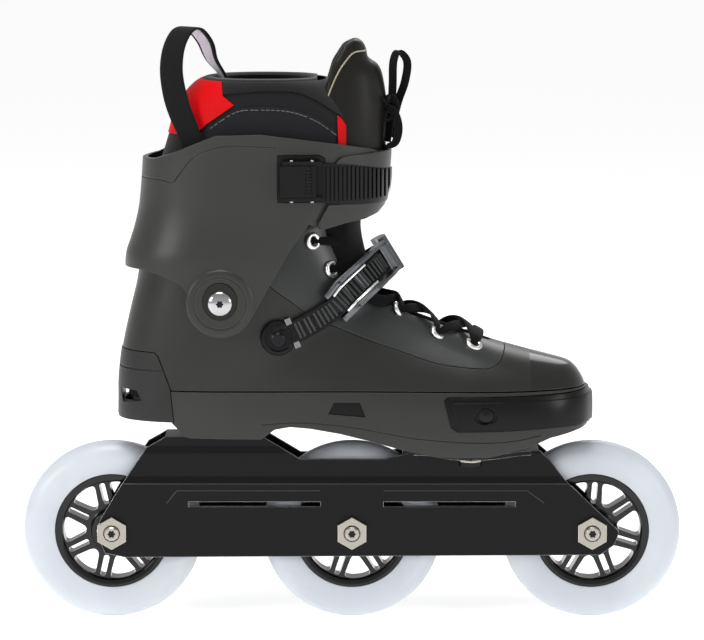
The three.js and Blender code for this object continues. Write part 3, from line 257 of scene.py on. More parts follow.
def metal(name, colour, roughness, fine=0.4, depth=0.006, bare_and_highlight_edge=None):
    """A metal surface. Fine is the size of its marks. A given edge colour paints its edges paler, as
    bare metal and as a painted highlight.
    """
    made, tree, shader = new_material(name)
    place = node(tree, "TexCoord").outputs["Object"]
    marks = node(tree, "TexNoise", {"Vector": place, "Scale": 1 / (fine * MM), "Detail": 3.0})
    gloss = node(tree, "MapRange", {
        "Value": marks,
        "To Min": max(0.03, roughness - METAL_DRIFT), "To Max": roughness + METAL_DRIFT,
    })
    tone = node(tree, "MapRange", {"Value": marks, "To Min": 0.92, "To Max": 1.08})
    paint = node(tree, "VectorMath", {0: linear(colour)[:3], "Scale": tone}, operation="SCALE")
    edge = node(tree, "Bevel", {"Radius": METAL_EDGE * MM}, samples=EDGE_SAMPLES)
    # paler edges: partly bare metal, partly a painted highlight
    if bare_and_highlight_edge:
        flat = node(tree, "NewGeometry").outputs["Normal"]
        match = node(tree, "VectorMath", {0: flat, 1: edge}, operation="DOT_PRODUCT")
        bare_and_highlight_mask = node(tree, "MapRange", {
            "Value": match.outputs["Value"], "From Min": 0.985, "From Max": 0.9,
        })
        paint = node(tree, "Mix", {0: bare_and_highlight_mask, 6: paint, 7: linear(bare_and_highlight_edge)}, data_type="RGBA").outputs[2]
    bump = node(tree, "Bump", {
        "Height": marks, "Distance": depth * MM, "Strength": 0.5, "Normal": edge,
    })
    feed(tree, shader, {"Metallic": 1.0, "Base Color": paint, "Roughness": gloss, "Normal": bump})
    return made


# the frame's pale edges are partly bare aluminium and partly a painted highlight
ANODISED = metal("anodised_black_aluminium", "#242425", 0.38, fine=0.5, bare_and_highlight_edge="#b9babb")
# pale strips: bright groove edges, and a painted highlight along the ridge's chamfer
MILLED_AND_HIGHLIGHT = metal("milled_line_and_highlight_aluminium", "#55565a", 0.35, fine=0.5)
# the nickel's pale edges are a painted highlight
NICKEL = metal("nickel_plated_steel", "#aaa59b", 0.3, fine=0.8, depth=0.02, bare_and_highlight_edge="#efece4")
CHROME = metal("chromed_steel", "#b9b9bb", 0.12, fine=1.5)
BRIGHT = metal("polished_nickel_eyelet", "#f6f6f2", 0.28, fine=1.0)
GUNMETAL = metal("cast_alloy_gunmetal", "#6a6d70", 0.34, fine=0.9)
# blackened steel for screws, also used as painted shade for the star recesses and the axle rings
DARK_STEEL_AND_SHADE = metal("blackened_steel_and_painted_shade", "#2a2a2c", 0.3, fine=0.8)

# %% [markdown]
# The tyres are cast urethane, a milky rubber that light goes a few millimetres into. Subsurface
# scattering softens it.

# %% Cast urethane
LIGHT_DEPTH = 5


def urethane():
    """Milky cast rubber with faint clouds in it."""
    made, tree, shader = new_material("cast_urethane")
    place = node(tree, "TexCoord").outputs["Object"]
    clouds = node(tree, "TexNoise", {"Vector": place, "Scale": 1 / (25 * MM), "Detail": 2.0})
    colour = node(
        tree, "Mix", {"Factor": clouds, "A": linear("#c3c8d0"), "B": linear("#cfd3d9")},
        data_type="RGBA",
    )
    grain = node(tree, "TexNoise", {"Vector": place, "Scale": 1 / (1.2 * MM)})
    bump = node(tree, "Bump", {"Height": grain, "Distance": 0.02 * MM, "Strength": 0.4})
    feed(tree, shader, {
        "Roughness": 0.32, "Subsurface Weight": 0.5, "Subsurface Radius": (1.0, 1.0, 1.1),
        "Subsurface Scale": LIGHT_DEPTH * MM, "Base Color": colour.outputs[2], "Normal": bump,
    })
    return made


URETHANE = urethane()

# %% [markdown]
# Cloth is drawn by its threads. Two sets of waves at right angles, a thread apart, give the weave,
# and sheen gives the soft bright edge of its fibres. Real threads are finer and would blur together
# from where the camera stands, so they are drawn about a millimetre apart.

# %% Woven and knitted cloth


def woven(name, colour, thread, sheen=0.3, contrast=0.35, along_piece=None, depth=0.18):
    """Cloth with threads a distance apart, or with counts of threads round and along a band."""
    made, tree, shader = new_material(name)
    source = node(tree, "TexCoord").outputs["UV" if along_piece else "Object"]
    counts = along_piece or (1 / (thread * MM),) * 2
    spread = node(tree, "Mapping", {"Vector": source, "Scale": (counts[0], counts[1], counts[1])})
    split = node(tree, "SeparateXYZ", {"Vector": spread}).outputs
    waves = []
    for axis in ("X", "Y" if along_piece else "Z"):
        turned_by = node(tree, "Math", {0: split[axis], 1: 2 * math.pi}, operation="MULTIPLY")
        waves.append(node(tree, "Math", {0: turned_by}, operation="SINE"))
    both = node(tree, "Math", {0: waves[0], 1: waves[1]}, operation="MULTIPLY")
    fuzz = node(tree, "TexNoise", {"Vector": spread, "Scale": 1.7, "Detail": 4.0})
    height = node(tree, "Math", {0: both, 1: 0.4, 2: fuzz}, operation="MULTIPLY_ADD")
    tone = node(tree, "MapRange", {
        "Value": height, "From Min": 0.0, "From Max": 1.0,
        "To Min": 1 - contrast, "To Max": 1 + contrast,
    })
    paint = node(tree, "VectorMath", {0: linear(colour)[:3], "Scale": tone}, operation="SCALE")
    bump = node(tree, "Bump", {"Height": height, "Distance": depth * MM, "Strength": 0.7})
    feed(tree, shader, {
        "Roughness": 0.85, "Specular IOR Level": 0.12, "Sheen Weight": sheen,
        "Sheen Roughness": 0.5, "Base Color": paint, "Normal": bump,
    })
    return made


LINER_CLOTH = woven("liner_knit_charcoal", "#161618", 1.0, sheen=0.15)
BINDING_CLOTH = woven("rim_binding_fleece", "#0d0d0c", 0.8, sheen=0.3, contrast=0.5)
INNER_CLOTH = woven("inner_lining_black", "#1c1c1d", 1.2)
WEBBING = woven("woven_webbing_black", "#0b0b0c", 1.0, sheen=0.08, along_piece=(30, 90))
LACE = woven("flat_lace_black", "#080809", 1.0, sheen=0.08, along_piece=(16, 60))
PALE_TAPE = woven("woven_tape_pale", "#d9d5e2", 0.9, sheen=0.3, contrast=0.12)
PANEL_CLOTH = woven("collar_panel_mesh", "#1b1b1e", 1.3, sheen=0.12)
THROAT_CLOTH = woven("tongue_mesh_black", "#0c0c0d", 1.6, sheen=0.1, depth=0.3)
THREAD = woven("sewing_thread_grey", "#5a5a5e", 0.6, contrast=0.2)
PIPING = woven("edge_stitching_straw", "#9a937c", 0.8, contrast=0.4)

# %% [markdown]
# The heel patch and the tongue are coated cloth, that is artificial leather: a skin of small cells
# with creases between them, which Voronoi cells give, on a satin coat.

# %% Artificial leather


def leatherette(name, colour, roughness, cell=1.3, depth=0.08, shine=0.28):
    """Coated cloth with cells of a size."""
    made, tree, shader = new_material(name)
    place = node(tree, "TexCoord").outputs["Object"]
    cells = node(
        tree, "TexVoronoi", {"Vector": place, "Scale": 1 / (cell * MM)}, feature="DISTANCE_TO_EDGE"
    )
    slow = node(tree, "TexNoise", {"Vector": place, "Scale": 1 / (14 * MM), "Detail": 3.0})
    tone = node(tree, "MapRange", {"Value": slow, "To Min": 0.82, "To Max": 1.18})
    paint = node(tree, "VectorMath", {0: linear(colour)[:3], "Scale": tone}, operation="SCALE")
    bump = node(tree, "Bump", {
        "Height": cells.outputs["Distance"], "Distance": depth * MM, "Strength": 0.5,
    })
    feed(tree, shader, {
        "Roughness": roughness, "Specular IOR Level": shine, "Base Color": paint, "Normal": bump,
    })
    return made


RED = leatherette("leatherette_red", "#c90309", 0.55, shine=0.1)
TONGUE = leatherette("leatherette_brown_black", "#14130f", 0.42, shine=0.2)
SOFT_FOAM = leatherette("insole_foam_grey", "#4a4a4c", 0.9, cell=2.0)

# %% [markdown]
# The floor is a large pale sheet of card, lit a little from below like a light table, so that it stays
# white around the skate.

# %% Floor
FLOOR_SIZE = 80
FLOOR_DROP = 0.2
FLOOR_GLOW = 0.55
bpy.ops.mesh.primitive_plane_add(size=FLOOR_SIZE, location=at(0, 0, -FLOOR_DROP))
floor = bpy.context.object
floor.name = "studio_floor"
floor_card, floor_tree, floor_shader = new_material("matt_white_card")
card_noise = node(floor_tree, "TexNoise", {"Scale": 60.0})
card_tone = node(floor_tree, "MapRange", {"Value": card_noise, "To Min": 0.88, "To Max": 0.9})
feed(floor_tree, floor_shader, {
    "Base Color": card_tone, "Roughness": 0.9, "Emission Color": linear("#ffffff"),
    "Emission Strength": FLOOR_GLOW,
})
floor.data.materials.append(floor_card)

# %% [markdown]
# Most pieces here start in one of two ways. A grid primitive is rolled into a tube whose rings follow a
# form, as a sheet is rolled round a last, and a filled circle is pulled to an outline and extruded to a
# plate. Plates and forms then cut each other, as a router cuts a blank.

# %% Modelling helpers


def edit(*steps):
    """Runs edit-mode steps on the whole of the active mesh."""
    bpy.ops.object.mode_set(mode="EDIT")
    bpy.ops.mesh.select_all(action="SELECT")
    for step in steps:
        step()
    bpy.ops.object.mode_set(mode="OBJECT")


def close_up():
    """Merges doubles, closes open ends and turns every face outwards."""
    bpy.ops.mesh.remove_doubles(threshold=0.002 * MM)
    bpy.ops.mesh.select_non_manifold(extend=False)
    bpy.ops.mesh.fill_holes(sides=0)
    bpy.ops.mesh.select_all(action="SELECT")
    bpy.ops.mesh.normals_make_consistent(inside=False)


def place_vertices(made, points):
    """Moves a new primitive's vertices to points in millimetres, in order."""
    made.location = (0, 0, 0)
    made.data.vertices.foreach_set("co", [value * MM for point in points for value in point])
    made.data.update()


def rolled(name, rows):
    """A tube or sheet through rows of points, each with the same count."""
    bpy.ops.object.select_all(action="DESELECT")
    bpy.ops.mesh.primitive_grid_add(x_subdivisions=len(rows[0]) - 1, y_subdivisions=len(rows) - 1)
    made = bpy.context.object
    made.name = name
    place_vertices(made, [point for row in rows for point in row])
    edit(close_up)
    return made


def plate(name, outline, low, high, axis="Y", rise=SEAM_Z):
    """An outline [x, z] pushed along Y, or [x, y] pushed along Z, between two distances."""
    bpy.ops.object.select_all(action="DESELECT")
    bpy.ops.mesh.primitive_circle_add(vertices=len(outline), fill_type="NGON")
    made = bpy.context.object
    made.name = name
    if axis == "Y":
        points = [(x, low, z + rise) for x, z in outline]
        push = (0, (high - low) * MM, 0)
    else:
        points = [(x, y, low + rise) for x, y in outline]
        push = (0, 0, (high - low) * MM)
    place_vertices(made, points)
    edit(
        lambda: bpy.ops.mesh.extrude_region_move(TRANSFORM_OT_translate={"value": push}),
        lambda: bpy.ops.mesh.select_all(action="SELECT"),
        lambda: bpy.ops.mesh.normals_make_consistent(inside=False),
    )
    return made


def boolean(body, tool, operation):
    """Cuts, joins or crosses a body with a tool, and uses the tool up."""
    bpy.context.view_layer.objects.active = body
    step = body.modifiers.new("cut", "BOOLEAN")
    step.object = tool
    step.operation = operation
    step.solver = "MANIFOLD"
    bpy.ops.object.modifier_apply(modifier=step.name)
    bpy.data.objects.remove(tool)
    return body


def cut(body, *tools):
    """Takes the tools out of a body."""
    for tool in tools:
        boolean(body, tool, "DIFFERENCE")
    return body


def within(body, *tools):
    """Keeps what of a body lies inside every tool."""
    for tool in tools:
        boolean(body, tool, "INTERSECT")
    return body


def joined(body, *tools):
    """Adds the tools to a body."""
    for tool in tools:
        boolean(body, tool, "UNION")
    return body


def finished(made, material, body, nodes=(), angle=35):
    """Gives a piece its shading, material and body, and hides the nodes it replaces."""
    bpy.ops.object.select_all(action="DESELECT")
    made.select_set(True)
    bpy.context.view_layer.objects.active = made
    bpy.ops.object.shade_smooth_by_angle(angle=math.radians(angle))
    made.data.materials.clear()
    made.data.materials.append(material)
    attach(made, body)
    if nodes:
        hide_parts(*nodes)
    print(made.name, len(made.data.polygons), "faces on", body)
    return made


# %% [markdown]
# Outlines are grown by a distance to leave a gap round a piece, and a line is given a width to cut a
# groove.

# %% Outline helpers


def turn_of(points):
    """Twice the signed area of an outline."""
    pairs = zip(points, points[1:] + points[:1])
    return sum(a[0] * b[1] - b[0] * a[1] for a, b in pairs)


def grown(points, distance):
    """An outline moved outwards."""
    sign = 1 if turn_of([tuple(p) for p in points]) > 0 else -1
    moved = []
    for i, here in enumerate(points):
        before = Vector(points[i - 1])
        after = Vector(points[(i + 1) % len(points)])
        here = Vector(here)
        first = (here - before).normalized()
        second = (after - here).normalized()
        normal = Vector((first.y + second.y, -first.x - second.x)) * sign
        spread = max(0.4, normal.length / 2)
        moved.append(tuple(here + normal.normalized() * distance / spread))
    return moved


def strip(points, width):
    """An outline that follows a line with a width."""
    sides = ([], [])
    for i, here in enumerate(points):
        before = Vector(points[max(0, i - 1)])
        after = Vector(points[min(len(points) - 1, i + 1)])
        across = (after - before).normalized()
        for side, sign in zip(sides, (1, -1)):
            side.append(tuple(Vector(here) + Vector((-across.y, across.x)) * sign * width / 2))
    return sides[0] + sides[1][::-1]


def rounded(points, steps=4):
    """A smooth open line through points of any dimension (a Catmull-Rom curve)."""
    line = []
    for i in range(len(points) - 1):
        p0, p1, p2, p3 = (
            Vector(points[min(max(k, 0), len(points) - 1)]) for k in (i - 1, i, i + 1, i + 2)
        )
        for step in range(steps):
            t = step / steps
            line.append(
                tuple(
                    0.5
                    * (
                        2 * p1
                        + (p2 - p0) * t
                        + (2 * p0 - 5 * p1 + 4 * p2 - p3) * t * t
                        + (3 * p1 - p0 - 3 * p2 + p3) * t**3
                    )
                )
            )
    return line + [tuple(points[-1])]


def ring(x, z, radius, count=24, start=0, stop=360, tall=None):
    """Points of an arc in side view. Tall is the half height of an oval."""
    turn = stop - start
    last = count if turn == 360 else count - 1
    angles = [math.radians(start + turn * i / last) for i in range(count)]
    return [(x + radius * math.cos(a), z + (tall or radius) * math.sin(a)) for a in angles]


# %% [markdown]
# The boot is moulded over a last, a foot-shaped form. Its rings lean from upright at the toe to level
# at the ankle. Each row holds the front and back point in the mid-plane, the half width, where the
# widest point lies and how square the ring is above and below. The cuff, the collar and the tongue
# follow level rings in the same way. A smooth curve through the rows takes the facets away.

# %% Forms of the boot
LAST = [
    (-14, 152, -140, 134, 45, 0.45, 2.2, 2.2), (-8, 119, -147, 92, 45, 0.45, 2.2, 2.2),
    (-2, 102, -149, 74, 46, 0.45, 2.2, 2.2), (6, 86, -155, 49, 46.5, 0.45, 2.2, 2.2),
    (14, 71, -160.5, 22, 46, 0.45, 2.2, 2.2), (22, 60, -162.5, -6, 45.5, 0.43, 2.2, 2.3),
    (30, 57, -158, -31, 45, 0.42, 2.2, 2.6), (41, 51.5, -120, -48, 45, 0.42, 2.2, 3),
    (57, 45, -60, -54, 45.5, 0.42, 2.2, 3.4), (76, 38, 5, -58, 48, 0.45, 2.2, 3.6),
    (97, 30.5, 65, -58, 51, 0.46, 2.2, 3.6), (118, 24.5, 110, -56, 49, 0.46, 2.2, 3.6),
    (138, 19.5, 138, -54, 42.5, 0.46, 2.2, 3.4), (152, 15, 152, -50, 33, 0.48, 2.3, 3),
    (160, 6, 160, -42, 22.5, 0.5, 2.3, 2.6), (164.7, -6, 164.7, -26, 9, 0.5, 2.2, 2.2),
]
CUFF_ROWS = [
    (30, -158, 16, 53), (75, -157.5, 12, 53.5), (91, -157, 12, 53.5), (102, -153.6, 13, 53),
    (114, -150, 16, 52.5), (130, -147, 22, 52.5), (162, -144.6, 25.5, 53), (190, -144, 25, 54),
]
TONGUE_ROWS = [
    (118, -60, 9, 33), (134, -60, 15, 33), (166, -60, 22.5, 33), (190, -58, 24, 32),
    (211, -56, 21.5, 30), (221, -55, 18.5, 28), (228, -54, 12, 26), (241, -50, 6, 21),
]
LEVEL_SQUARENESS = 2.3
OUTSIDE = 8
ROUND_COUNT = 72
TOE_ROWS = 4


def power(value, exponent):
    """A power that keeps the sign of its value."""
    return math.copysign(abs(value) ** exponent, value)


def boot_spot(row, late, offset, angle):
    """A point of one ring of the last. Late is how far it is into the toe's closing rows, 0 to 1."""
    fx, fz, bx, bz, width, share, top, bottom = row
    long = Vector((fx - bx, fz - bz)).normalized() * offset
    front = Vector((fx + late * offset, fz)) + long
    back = Vector((bx + late * offset, bz)) - long
    upper = math.cos(angle) > 0
    square = 2 / (top if upper else bottom)
    centre = back.lerp(front, share)
    spot = centre.lerp(front if upper else back, abs(power(math.cos(angle), square)))
    return (spot.x, (width + offset) * power(math.sin(angle), square), spot.y + SEAM_Z)


def boot_ring(row, late, offset):
    """A whole ring of the last."""
    turns = [(i % ROUND_COUNT) / ROUND_COUNT * 2 * math.pi for i in range(ROUND_COUNT + 1)]
    return [boot_spot(row, late, offset, angle) for angle in turns]


def lateness(place):
    """How far a place along the rows is into the toe's closing rows, 0 to 1."""
    return max(0, (place - (len(LAST) - 1 - TOE_ROWS)) / TOE_ROWS)


def boot_form(offset, name="form", steps=4):
    """The last, grown by an offset."""
    rows = rounded(LAST, steps)
    return rolled(name, [boot_ring(row, lateness(i / steps), offset) for i, row in enumerate(rows)])


def level_ring(row, offset):
    """A level ring from its height, back, front and half width."""
    z, back, front, width = row
    centre = (back + front) / 2
    reach = (front - back) / 2 + offset
    points = []
    for i in range(ROUND_COUNT + 1):
        angle = (i % ROUND_COUNT) / ROUND_COUNT * 2 * math.pi
        x = centre + reach * power(math.cos(angle), 2 / LEVEL_SQUARENESS)
        y = (width + offset) * power(math.sin(angle), 2 / LEVEL_SQUARENESS)
        points.append((x, y, z + SEAM_Z))
    return points


def level_form(rows, offset, name="form", steps=5):
    """A form of level rings, grown by an offset."""
    return rolled(name, [level_ring(row, offset) for row in rounded(rows, steps)])


def cuff_form(offset):
    """The cuff's outer form, grown by an offset."""
    return level_form(CUFF_ROWS, offset)


def skin(name, form, outer, inner, outline, low=-FAR, high=FAR):
    """The layer between two offsets of a form, inside a side outline."""
    body = form(outer)
    body.name = name
    return cut(within(body, plate("outline", outline, low, high)), form(inner))


def recess(form, depth, outline, low=-FAR, high=FAR):
    """A cutter that sinks an outline to a depth below a form."""
    return skin("recess", form, OUTSIDE, -depth, outline, low, high)


# %% [markdown]
# Side outlines of the boot's mouldings, as [x, height above the seam]. The seam between the shell and
# the sole is level, and the laced facing ends in a long S-shaped line.

# %% Outlines
SOLE_SIDE = [
    (-175, 0), (-175, -22), (-124.2, -22), (-115.5, -31.7), (-112, -33), (-62.3, -33), (-53.2, -25.9),
    (-42.7, -24), (-28.9, -25.1), (-8.3, -28.6), (12.4, -33.6), (33, -39.3), (46.7, -42.3),
    (60.4, -44.7), (70.7, -45.4), (93.3, -45.4), (101.7, -43.5), (122.5, -37.6), (136.6, -31.9),
    (151, -29.4), (180, -24), (180, 0),
]
HEEL_BUMPER_SIDE = [
    (-180, 26.1), (-180, -21.7), (-122.9, -21.7), (-125.2, 2), (-133.4, 23.4), (-136.2, 26.1),
]
HEEL_WINDOW = [(-160.3, -0.8), (-158.6, -10.4), (-145.1, -7.4), (-148.7, -0.8)]
TOE_BUMPER_SIDE = [
    (180, -1.5), (101.4, -2.8), (65.7, -3.2), (63.7, -5.2), (68.5, -23.3), (72.6, -26.1),
    (101.5, -25.7), (143.5, -24.2), (180, -25.5),
]
SEAM_LINE = [
    (-65.5, 88.8), (-57.3, 75), (-42.3, 63.3), (-28.7, 53), (-4.8, 41.9), (15.7, 33.6),
    (32.9, 27.8), (60.3, 19.1), (87.8, 16), (94.8, 16.4), (101.8, 20), (105.6, 26.6),
]
FACING_SIDE = [(-67, 100), *rounded(SEAM_LINE), (106, 60), (-10, 190), (-67, 190)]
EYELETS = [(-27.4, 104), (-14.4, 84), (4.1, 63.6), (32.6, 52.6), (58.4, 38.7), (83.3, 30.8)]
BOOT_RIM = [(-200, 90), (-150, 96), (-67, 107), (-35, 115), (-24, 113), (-10, 106), (60, 106)]



def under_rim(rise):
    """The side view below the boot's rim, moved up or down."""
    return [(x, z + rise) for x, z in BOOT_RIM] + [(200, 40), (200, -80), (-200, -80)]


PIVOT = (-90, 63)
CUFF_SIDE = [
    (-180, 83.7), (-141.5, 83.7), (-128.1, 79.9), (-117.6, 75.6), (-113.5, 71), (-111.5, 66),
    *ring(*PIVOT, 24, 14, 195, 320), (-55.9, 75.2), (-42.3, 99.1), (-29.3, 116.7), (-20.5, 112.3),
    (-4.8, 116.4), (8.9, 118.3), (18, 121.6), (34, 128), (34, 161.6), (23.5, 162.2), (12.3, 166.9),
    (-8.1, 170.9), (-35.2, 174.8), (-62.3, 178.2), (-92.9, 177.2), (-106.6, 171.4),
    (-120.6, 165.1), (-135, 159.7), (-180, 154),
]
SHELL_T = 3.8
FACING_T = 2.6
SOLE_WALL = 4.4
CUFF_T = 3.6

# %% [markdown]
# The shell and the sole are two hollow mouldings of glass-filled nylon with an even wall. Each is the
# last's form, cut by its side outline and hollowed by the same form a wall smaller. Bumpers, facings
# and the see-through window at the heel are cut out with a hair of room, so that a fine dark line
# shows between the parts, as on the real boot.

# %% Shell


def slab(points, low=-FAR, high=FAR):
    """A cutter with a side outline."""
    return plate("tool", points, low, high)


def box_slab(x0, x1, y0, y1, z0, z1):
    """A box-shaped cutter, its heights from the seam."""
    return slab([(x0, z0), (x1, z0), (x1, z1), (x0, z1)], y0, y1)


def heel_recess():
    """The seat of the heel bumper."""
    return skin("recess", boot_form, 4, -1.9, grown(HEEL_BUMPER_SIDE, 0.5))


SEAM_OPEN = 1.0
shell = boot_form(0, "shell_upper")
within(shell, slab([*BOOT_RIM, (200, 40), (200, SEAM_OPEN), (-200, SEAM_OPEN)]))
cut(shell, boot_form(-SHELL_T), slab(grown(FACING_SIDE, 0.5)), heel_recess(), slab(HEEL_WINDOW))
finished(shell, SHELL, "boot", ["shell"])

# %% Sole
CREASE = [
    (-62, -22.6), (-35.8, -20.9), (-1.4, -23.7), (26.1, -28.5), (46.7, -31.7), (81, -34.1),
    (108.6, -33.4), (129.5, -29.6),
]
SOLE_RECESS = [(-12.4, -6.8), (5.5, -6.8), (9.6, -17.2), (-16.5, -15.1)]
SOLE_FLOOR = -14.3
sole = boot_form(0, "sole_tub")
within(sole, slab(SOLE_SIDE))
cut(
    sole,
    within(boot_form(-SOLE_WALL), box_slab(-FAR, FAR, -FAR, FAR, SOLE_FLOOR, FAR)),
    heel_recess(),
    recess(boot_form, 1.7, grown(TOE_BUMPER_SIDE, 0.5)),
    slab(HEEL_WINDOW),
    recess(boot_form, 0.8, strip(rounded(CREASE), 1.0)),
    recess(boot_form, 1.6, SOLE_RECESS),
)
finished(sole, SOLE, "boot", ["sole"])

recess_floor = skin("sole_recess_floor", boot_form, -1.2, -2, SOLE_RECESS)
finished(recess_floor, BLACK, "boot")

# %% Bumpers and facings
HEEL_LINE = [(-180, 14), (-125, 14)]
heel_bumper = skin("heel_bumper_cap", boot_form, 0.6, -1.6, HEEL_BUMPER_SIDE)
cut(heel_bumper, slab(HEEL_WINDOW), recess(boot_form, 0.4, strip(HEEL_LINE, 1.2)))
finished(heel_bumper, HEEL_BLACK, "boot", ["heel_bumper"])

TOE_SCREW = (91.8, -15.3)
toe_bumper = skin("toe_bumper_cap", boot_form, 1.3, -1.4, TOE_BUMPER_SIDE)
TOE_FACE = [
    (180, -5), (101.4, -6.2), (69.4, -6.6), (68.6, -7.4), (72.4, -21.6), (74.2, -23.6),
    (101.5, -23.4), (143.5, -22.2), (180, -23.5),
]
joined(toe_bumper, skin("face", boot_form, 2.6, 0, TOE_FACE))
screw_seat = skin("recess", boot_form, 9, 0.4, ring(*TOE_SCREW, 8.2, 28, tall=5.9))
cut(toe_bumper, screw_seat, slab(ring(*TOE_SCREW, 5.7)))
finished(toe_bumper, BLACK, "boot", ["toe_bumper"])


def throat():
    """The open gap between the two laced facings."""
    half = [(98, 0), (94, 6), (60, 9.5), (20, 12), (-45, 15)]
    outline = half + [(x, -y) for x, y in half[:0:-1]]
    opening = plate("throat", outline, -20, 200, axis="Z")
    side = [(120, 8), (60, 18), (20, 38), (-15, 66), (-45, 84), (-45, 190), (120, 190)]
    return within(opening, slab(side))


facings = skin("laced_facings", boot_form, 0, -FACING_T, FACING_SIDE)
within(facings, slab(under_rim(0)))
cut(facings, throat(), *[slab(ring(x, z, 3)) for x, z in EYELETS])
finished(facings, FACING, "boot", ["facings"])

# %% [markdown]
# The cuff is moulded separately and turns on two ankle bolts, so that the skater can lean forward. Its
# flaps meet in front, where the strap and the buckle pull them together. A round boss stiffens it at
# each bolt, and shallow steps divide its sides.

# %% Cuff
PANEL_LINE = [
    (-150, 145.7), (-131.4, 145.8), (-122.9, 144.3), (-118.7, 148.7), (-110.2, 159.6),
    (-101.9, 165.4), (-86.1, 170.4), (-61, 169.9), (-51.5, 169.3),
]
cuff = skin("ankle_cuff", cuff_form, 0, -CUFF_T, CUFF_SIDE)


def turned(name, profile, place, count=48):
    """A closed profile [radius, y] turned round an axis along Y through [x, absolute z]."""
    rows = []
    for i in range(count + 1):
        angle = (i % count) / count * 2 * math.pi
        x, z = math.cos(angle), math.sin(angle)
        rows.append([(place[0] + r * x, y, place[1] + r * z) for r, y in profile + profile[:1]])
    return rolled(name, rows)


def mirrored(profile, side):
    """A profile [radius, y] on one side of the skate."""
    return [(r, side * y) for r, y in profile]


def flap_gap():
    """The gap in front, where the cuff's flaps meet."""
    return box_slab(-20, FAR, -9, 9, 30, FAR)


PIVOT_PLACE = (PIVOT[0], PIVOT[1] + SEAM_Z)
SEAT_Y = 52.5
BOSS_CLEAR_Y = 70
boss = [(0, 49.6), (23, 49.6), (23, 53.4), (22.2, 54.3), (21, 54.6), (0, 54.6)]
for side in SIDES.values():
    joined(cuff, turned("boss", mirrored(boss, side), PIVOT_PLACE))
groove = [(17.2, 54), (18.6, 54), (18.6, 60), (17.2, 60)]
oval_seat = ring(PIVOT[0], PIVOT[1] + 1.5, 11.9, 36, tall=12.9)
for side in SIDES.values():
    cut(cuff, turned("groove", mirrored(groove, side), PIVOT_PLACE))
    cut(cuff, slab(oval_seat, *sorted((side * SEAT_Y, side * BOSS_CLEAR_Y))))
cut(cuff, flap_gap(), recess(cuff_form, 0.8, strip(rounded(PANEL_LINE), 1.1)))
BUCKLE_POCKET = [(-50.8, 131.8), (-18, 131.8), (-18, 162), (-22, 164.5), (-50.8, 164.5)]
FLAP_SLIT = [(-17, 131), (-25.5, 114)]
cut(
    cuff,
    recess(cuff_form, 1.6, BUCKLE_POCKET, -FAR, -20),
    recess(cuff_form, 1.2, strip(FLAP_SLIT, 3.0), -FAR, -20),
)
finished(cuff, CUFF, "cuff", ["cuff"])

pocket_floor = skin(
    "buckle_pocket_floor", cuff_form, -0.3, -1.8, grown(BUCKLE_POCKET, -0.4), -FAR, -20
)
finished(pocket_floor, BLACK, "cuff")

# %% Front edges of the cuff's flap
UPPER_EDGE = [
    (-11, 157.5), (-9, 160.6), (-6, 162.2), (-1, 163), (16, 164.2), (34, 165), (34, 150), (0, 157),
]
LOWER_WING = [
    (-15.5, 130), (-22.5, 116.5), (-20.5, 112.6), (-4.8, 116.6), (8.9, 118.6), (18, 121.9),
    (24, 128), (24, 129.4), (0, 129.8),
]
for name, outline in (("cuff_upper_edge", UPPER_EDGE), ("cuff_lower_wing", LOWER_WING)):
    edge_piece = skin(name, cuff_form, 2.4, -0.5, outline)
    cut(edge_piece, flap_gap())
    finished(edge_piece, CUFF, "cuff")

# %% [markdown]
# Each wheel is a urethane tyre cast round a nylon hub. The tyre is a turned shape, so a profile is
# swept round the axle, and its crown is a smooth curve.

# %% Wheels
TYRE_HALF = [
    (40.3, 10.4), (45, 11.5), (50.5, 12), (54.4, 11.6), (57.4, 10.1), (59.9, 7.7), (61.6, 5.1),
    (62.4, 2.4), (62.5, 0),
]
TYRE_PROFILE = TYRE_HALF + [(r, -y) for r, y in TYRE_HALF[-2::-1]]
for name, x in AXLES.items():
    tyre = turned("tyre_cast_" + name, TYRE_PROFILE, (x, AXLE_Z), 128)
    finished(tyre, URETHANE, "wheel_" + name, ["tyre_" + name], 50)

# %% [markdown]
# Laces, straps and loops are bands: a small section is swept along a line, with its width lying in a
# given direction. The helper takes the middle line, the direction across at each point and the
# thickness direction that follows from them.

# %% Bands


def along_at(line, i):
    """The way a line runs at one of its points, from the point before to the point after."""
    return Vector(line[min(i + 1, len(line) - 1)]) - Vector(line[max(i - 1, 0)])


def above_seam(points):
    """Points whose heights are counted from the seam, as vectors."""
    return [Vector((p[0], p[1], p[2] + SEAM_Z)) for p in points]


def band(name, line, across, width, thick, square=3.0, count=16, ends=1.0):
    """A flat band along a line, with a direction across at each point. Ends narrow its two ends."""
    rows = []
    for i, here in enumerate(line):
        here = Vector(here)
        along = along_at(line, i)
        wide = Vector(across[i])
        wide = (wide - along * wide.dot(along) / along.length_squared).normalized()
        out = along.cross(wide).normalized()
        share = min(1, 5 * min(i, len(line) - 1 - i) / len(line))
        taper = ends + (1 - ends) * share
        row = []
        for k in range(count + 1):
            angle = (k % count) / count * 2 * math.pi
            side = power(math.cos(angle), 2 / square) * width * taper / 2
            lift = power(math.sin(angle), 2 / square) * thick / 2
            row.append(tuple(here + wide * side + out * lift))
        rows.append(row)
    return rolled(name, rows)


def together(name, parts):
    """Joins pieces to one."""
    bpy.ops.object.select_all(action="DESELECT")
    for part in parts:
        part.select_set(True)
    bpy.context.view_layer.objects.active = parts[0]
    bpy.ops.object.join()
    parts[0].name = name
    return parts[0]


# %% [markdown]
# The lace is a flat woven one. It starts with a bar at the toe and crosses itself at each row, so every
# half goes in at an eyelet, out over the edge of the facing and across the tongue. Its line is found
# on the last itself: an eyelet is a place on a ring, and a crossing runs from ring to ring over
# the top.

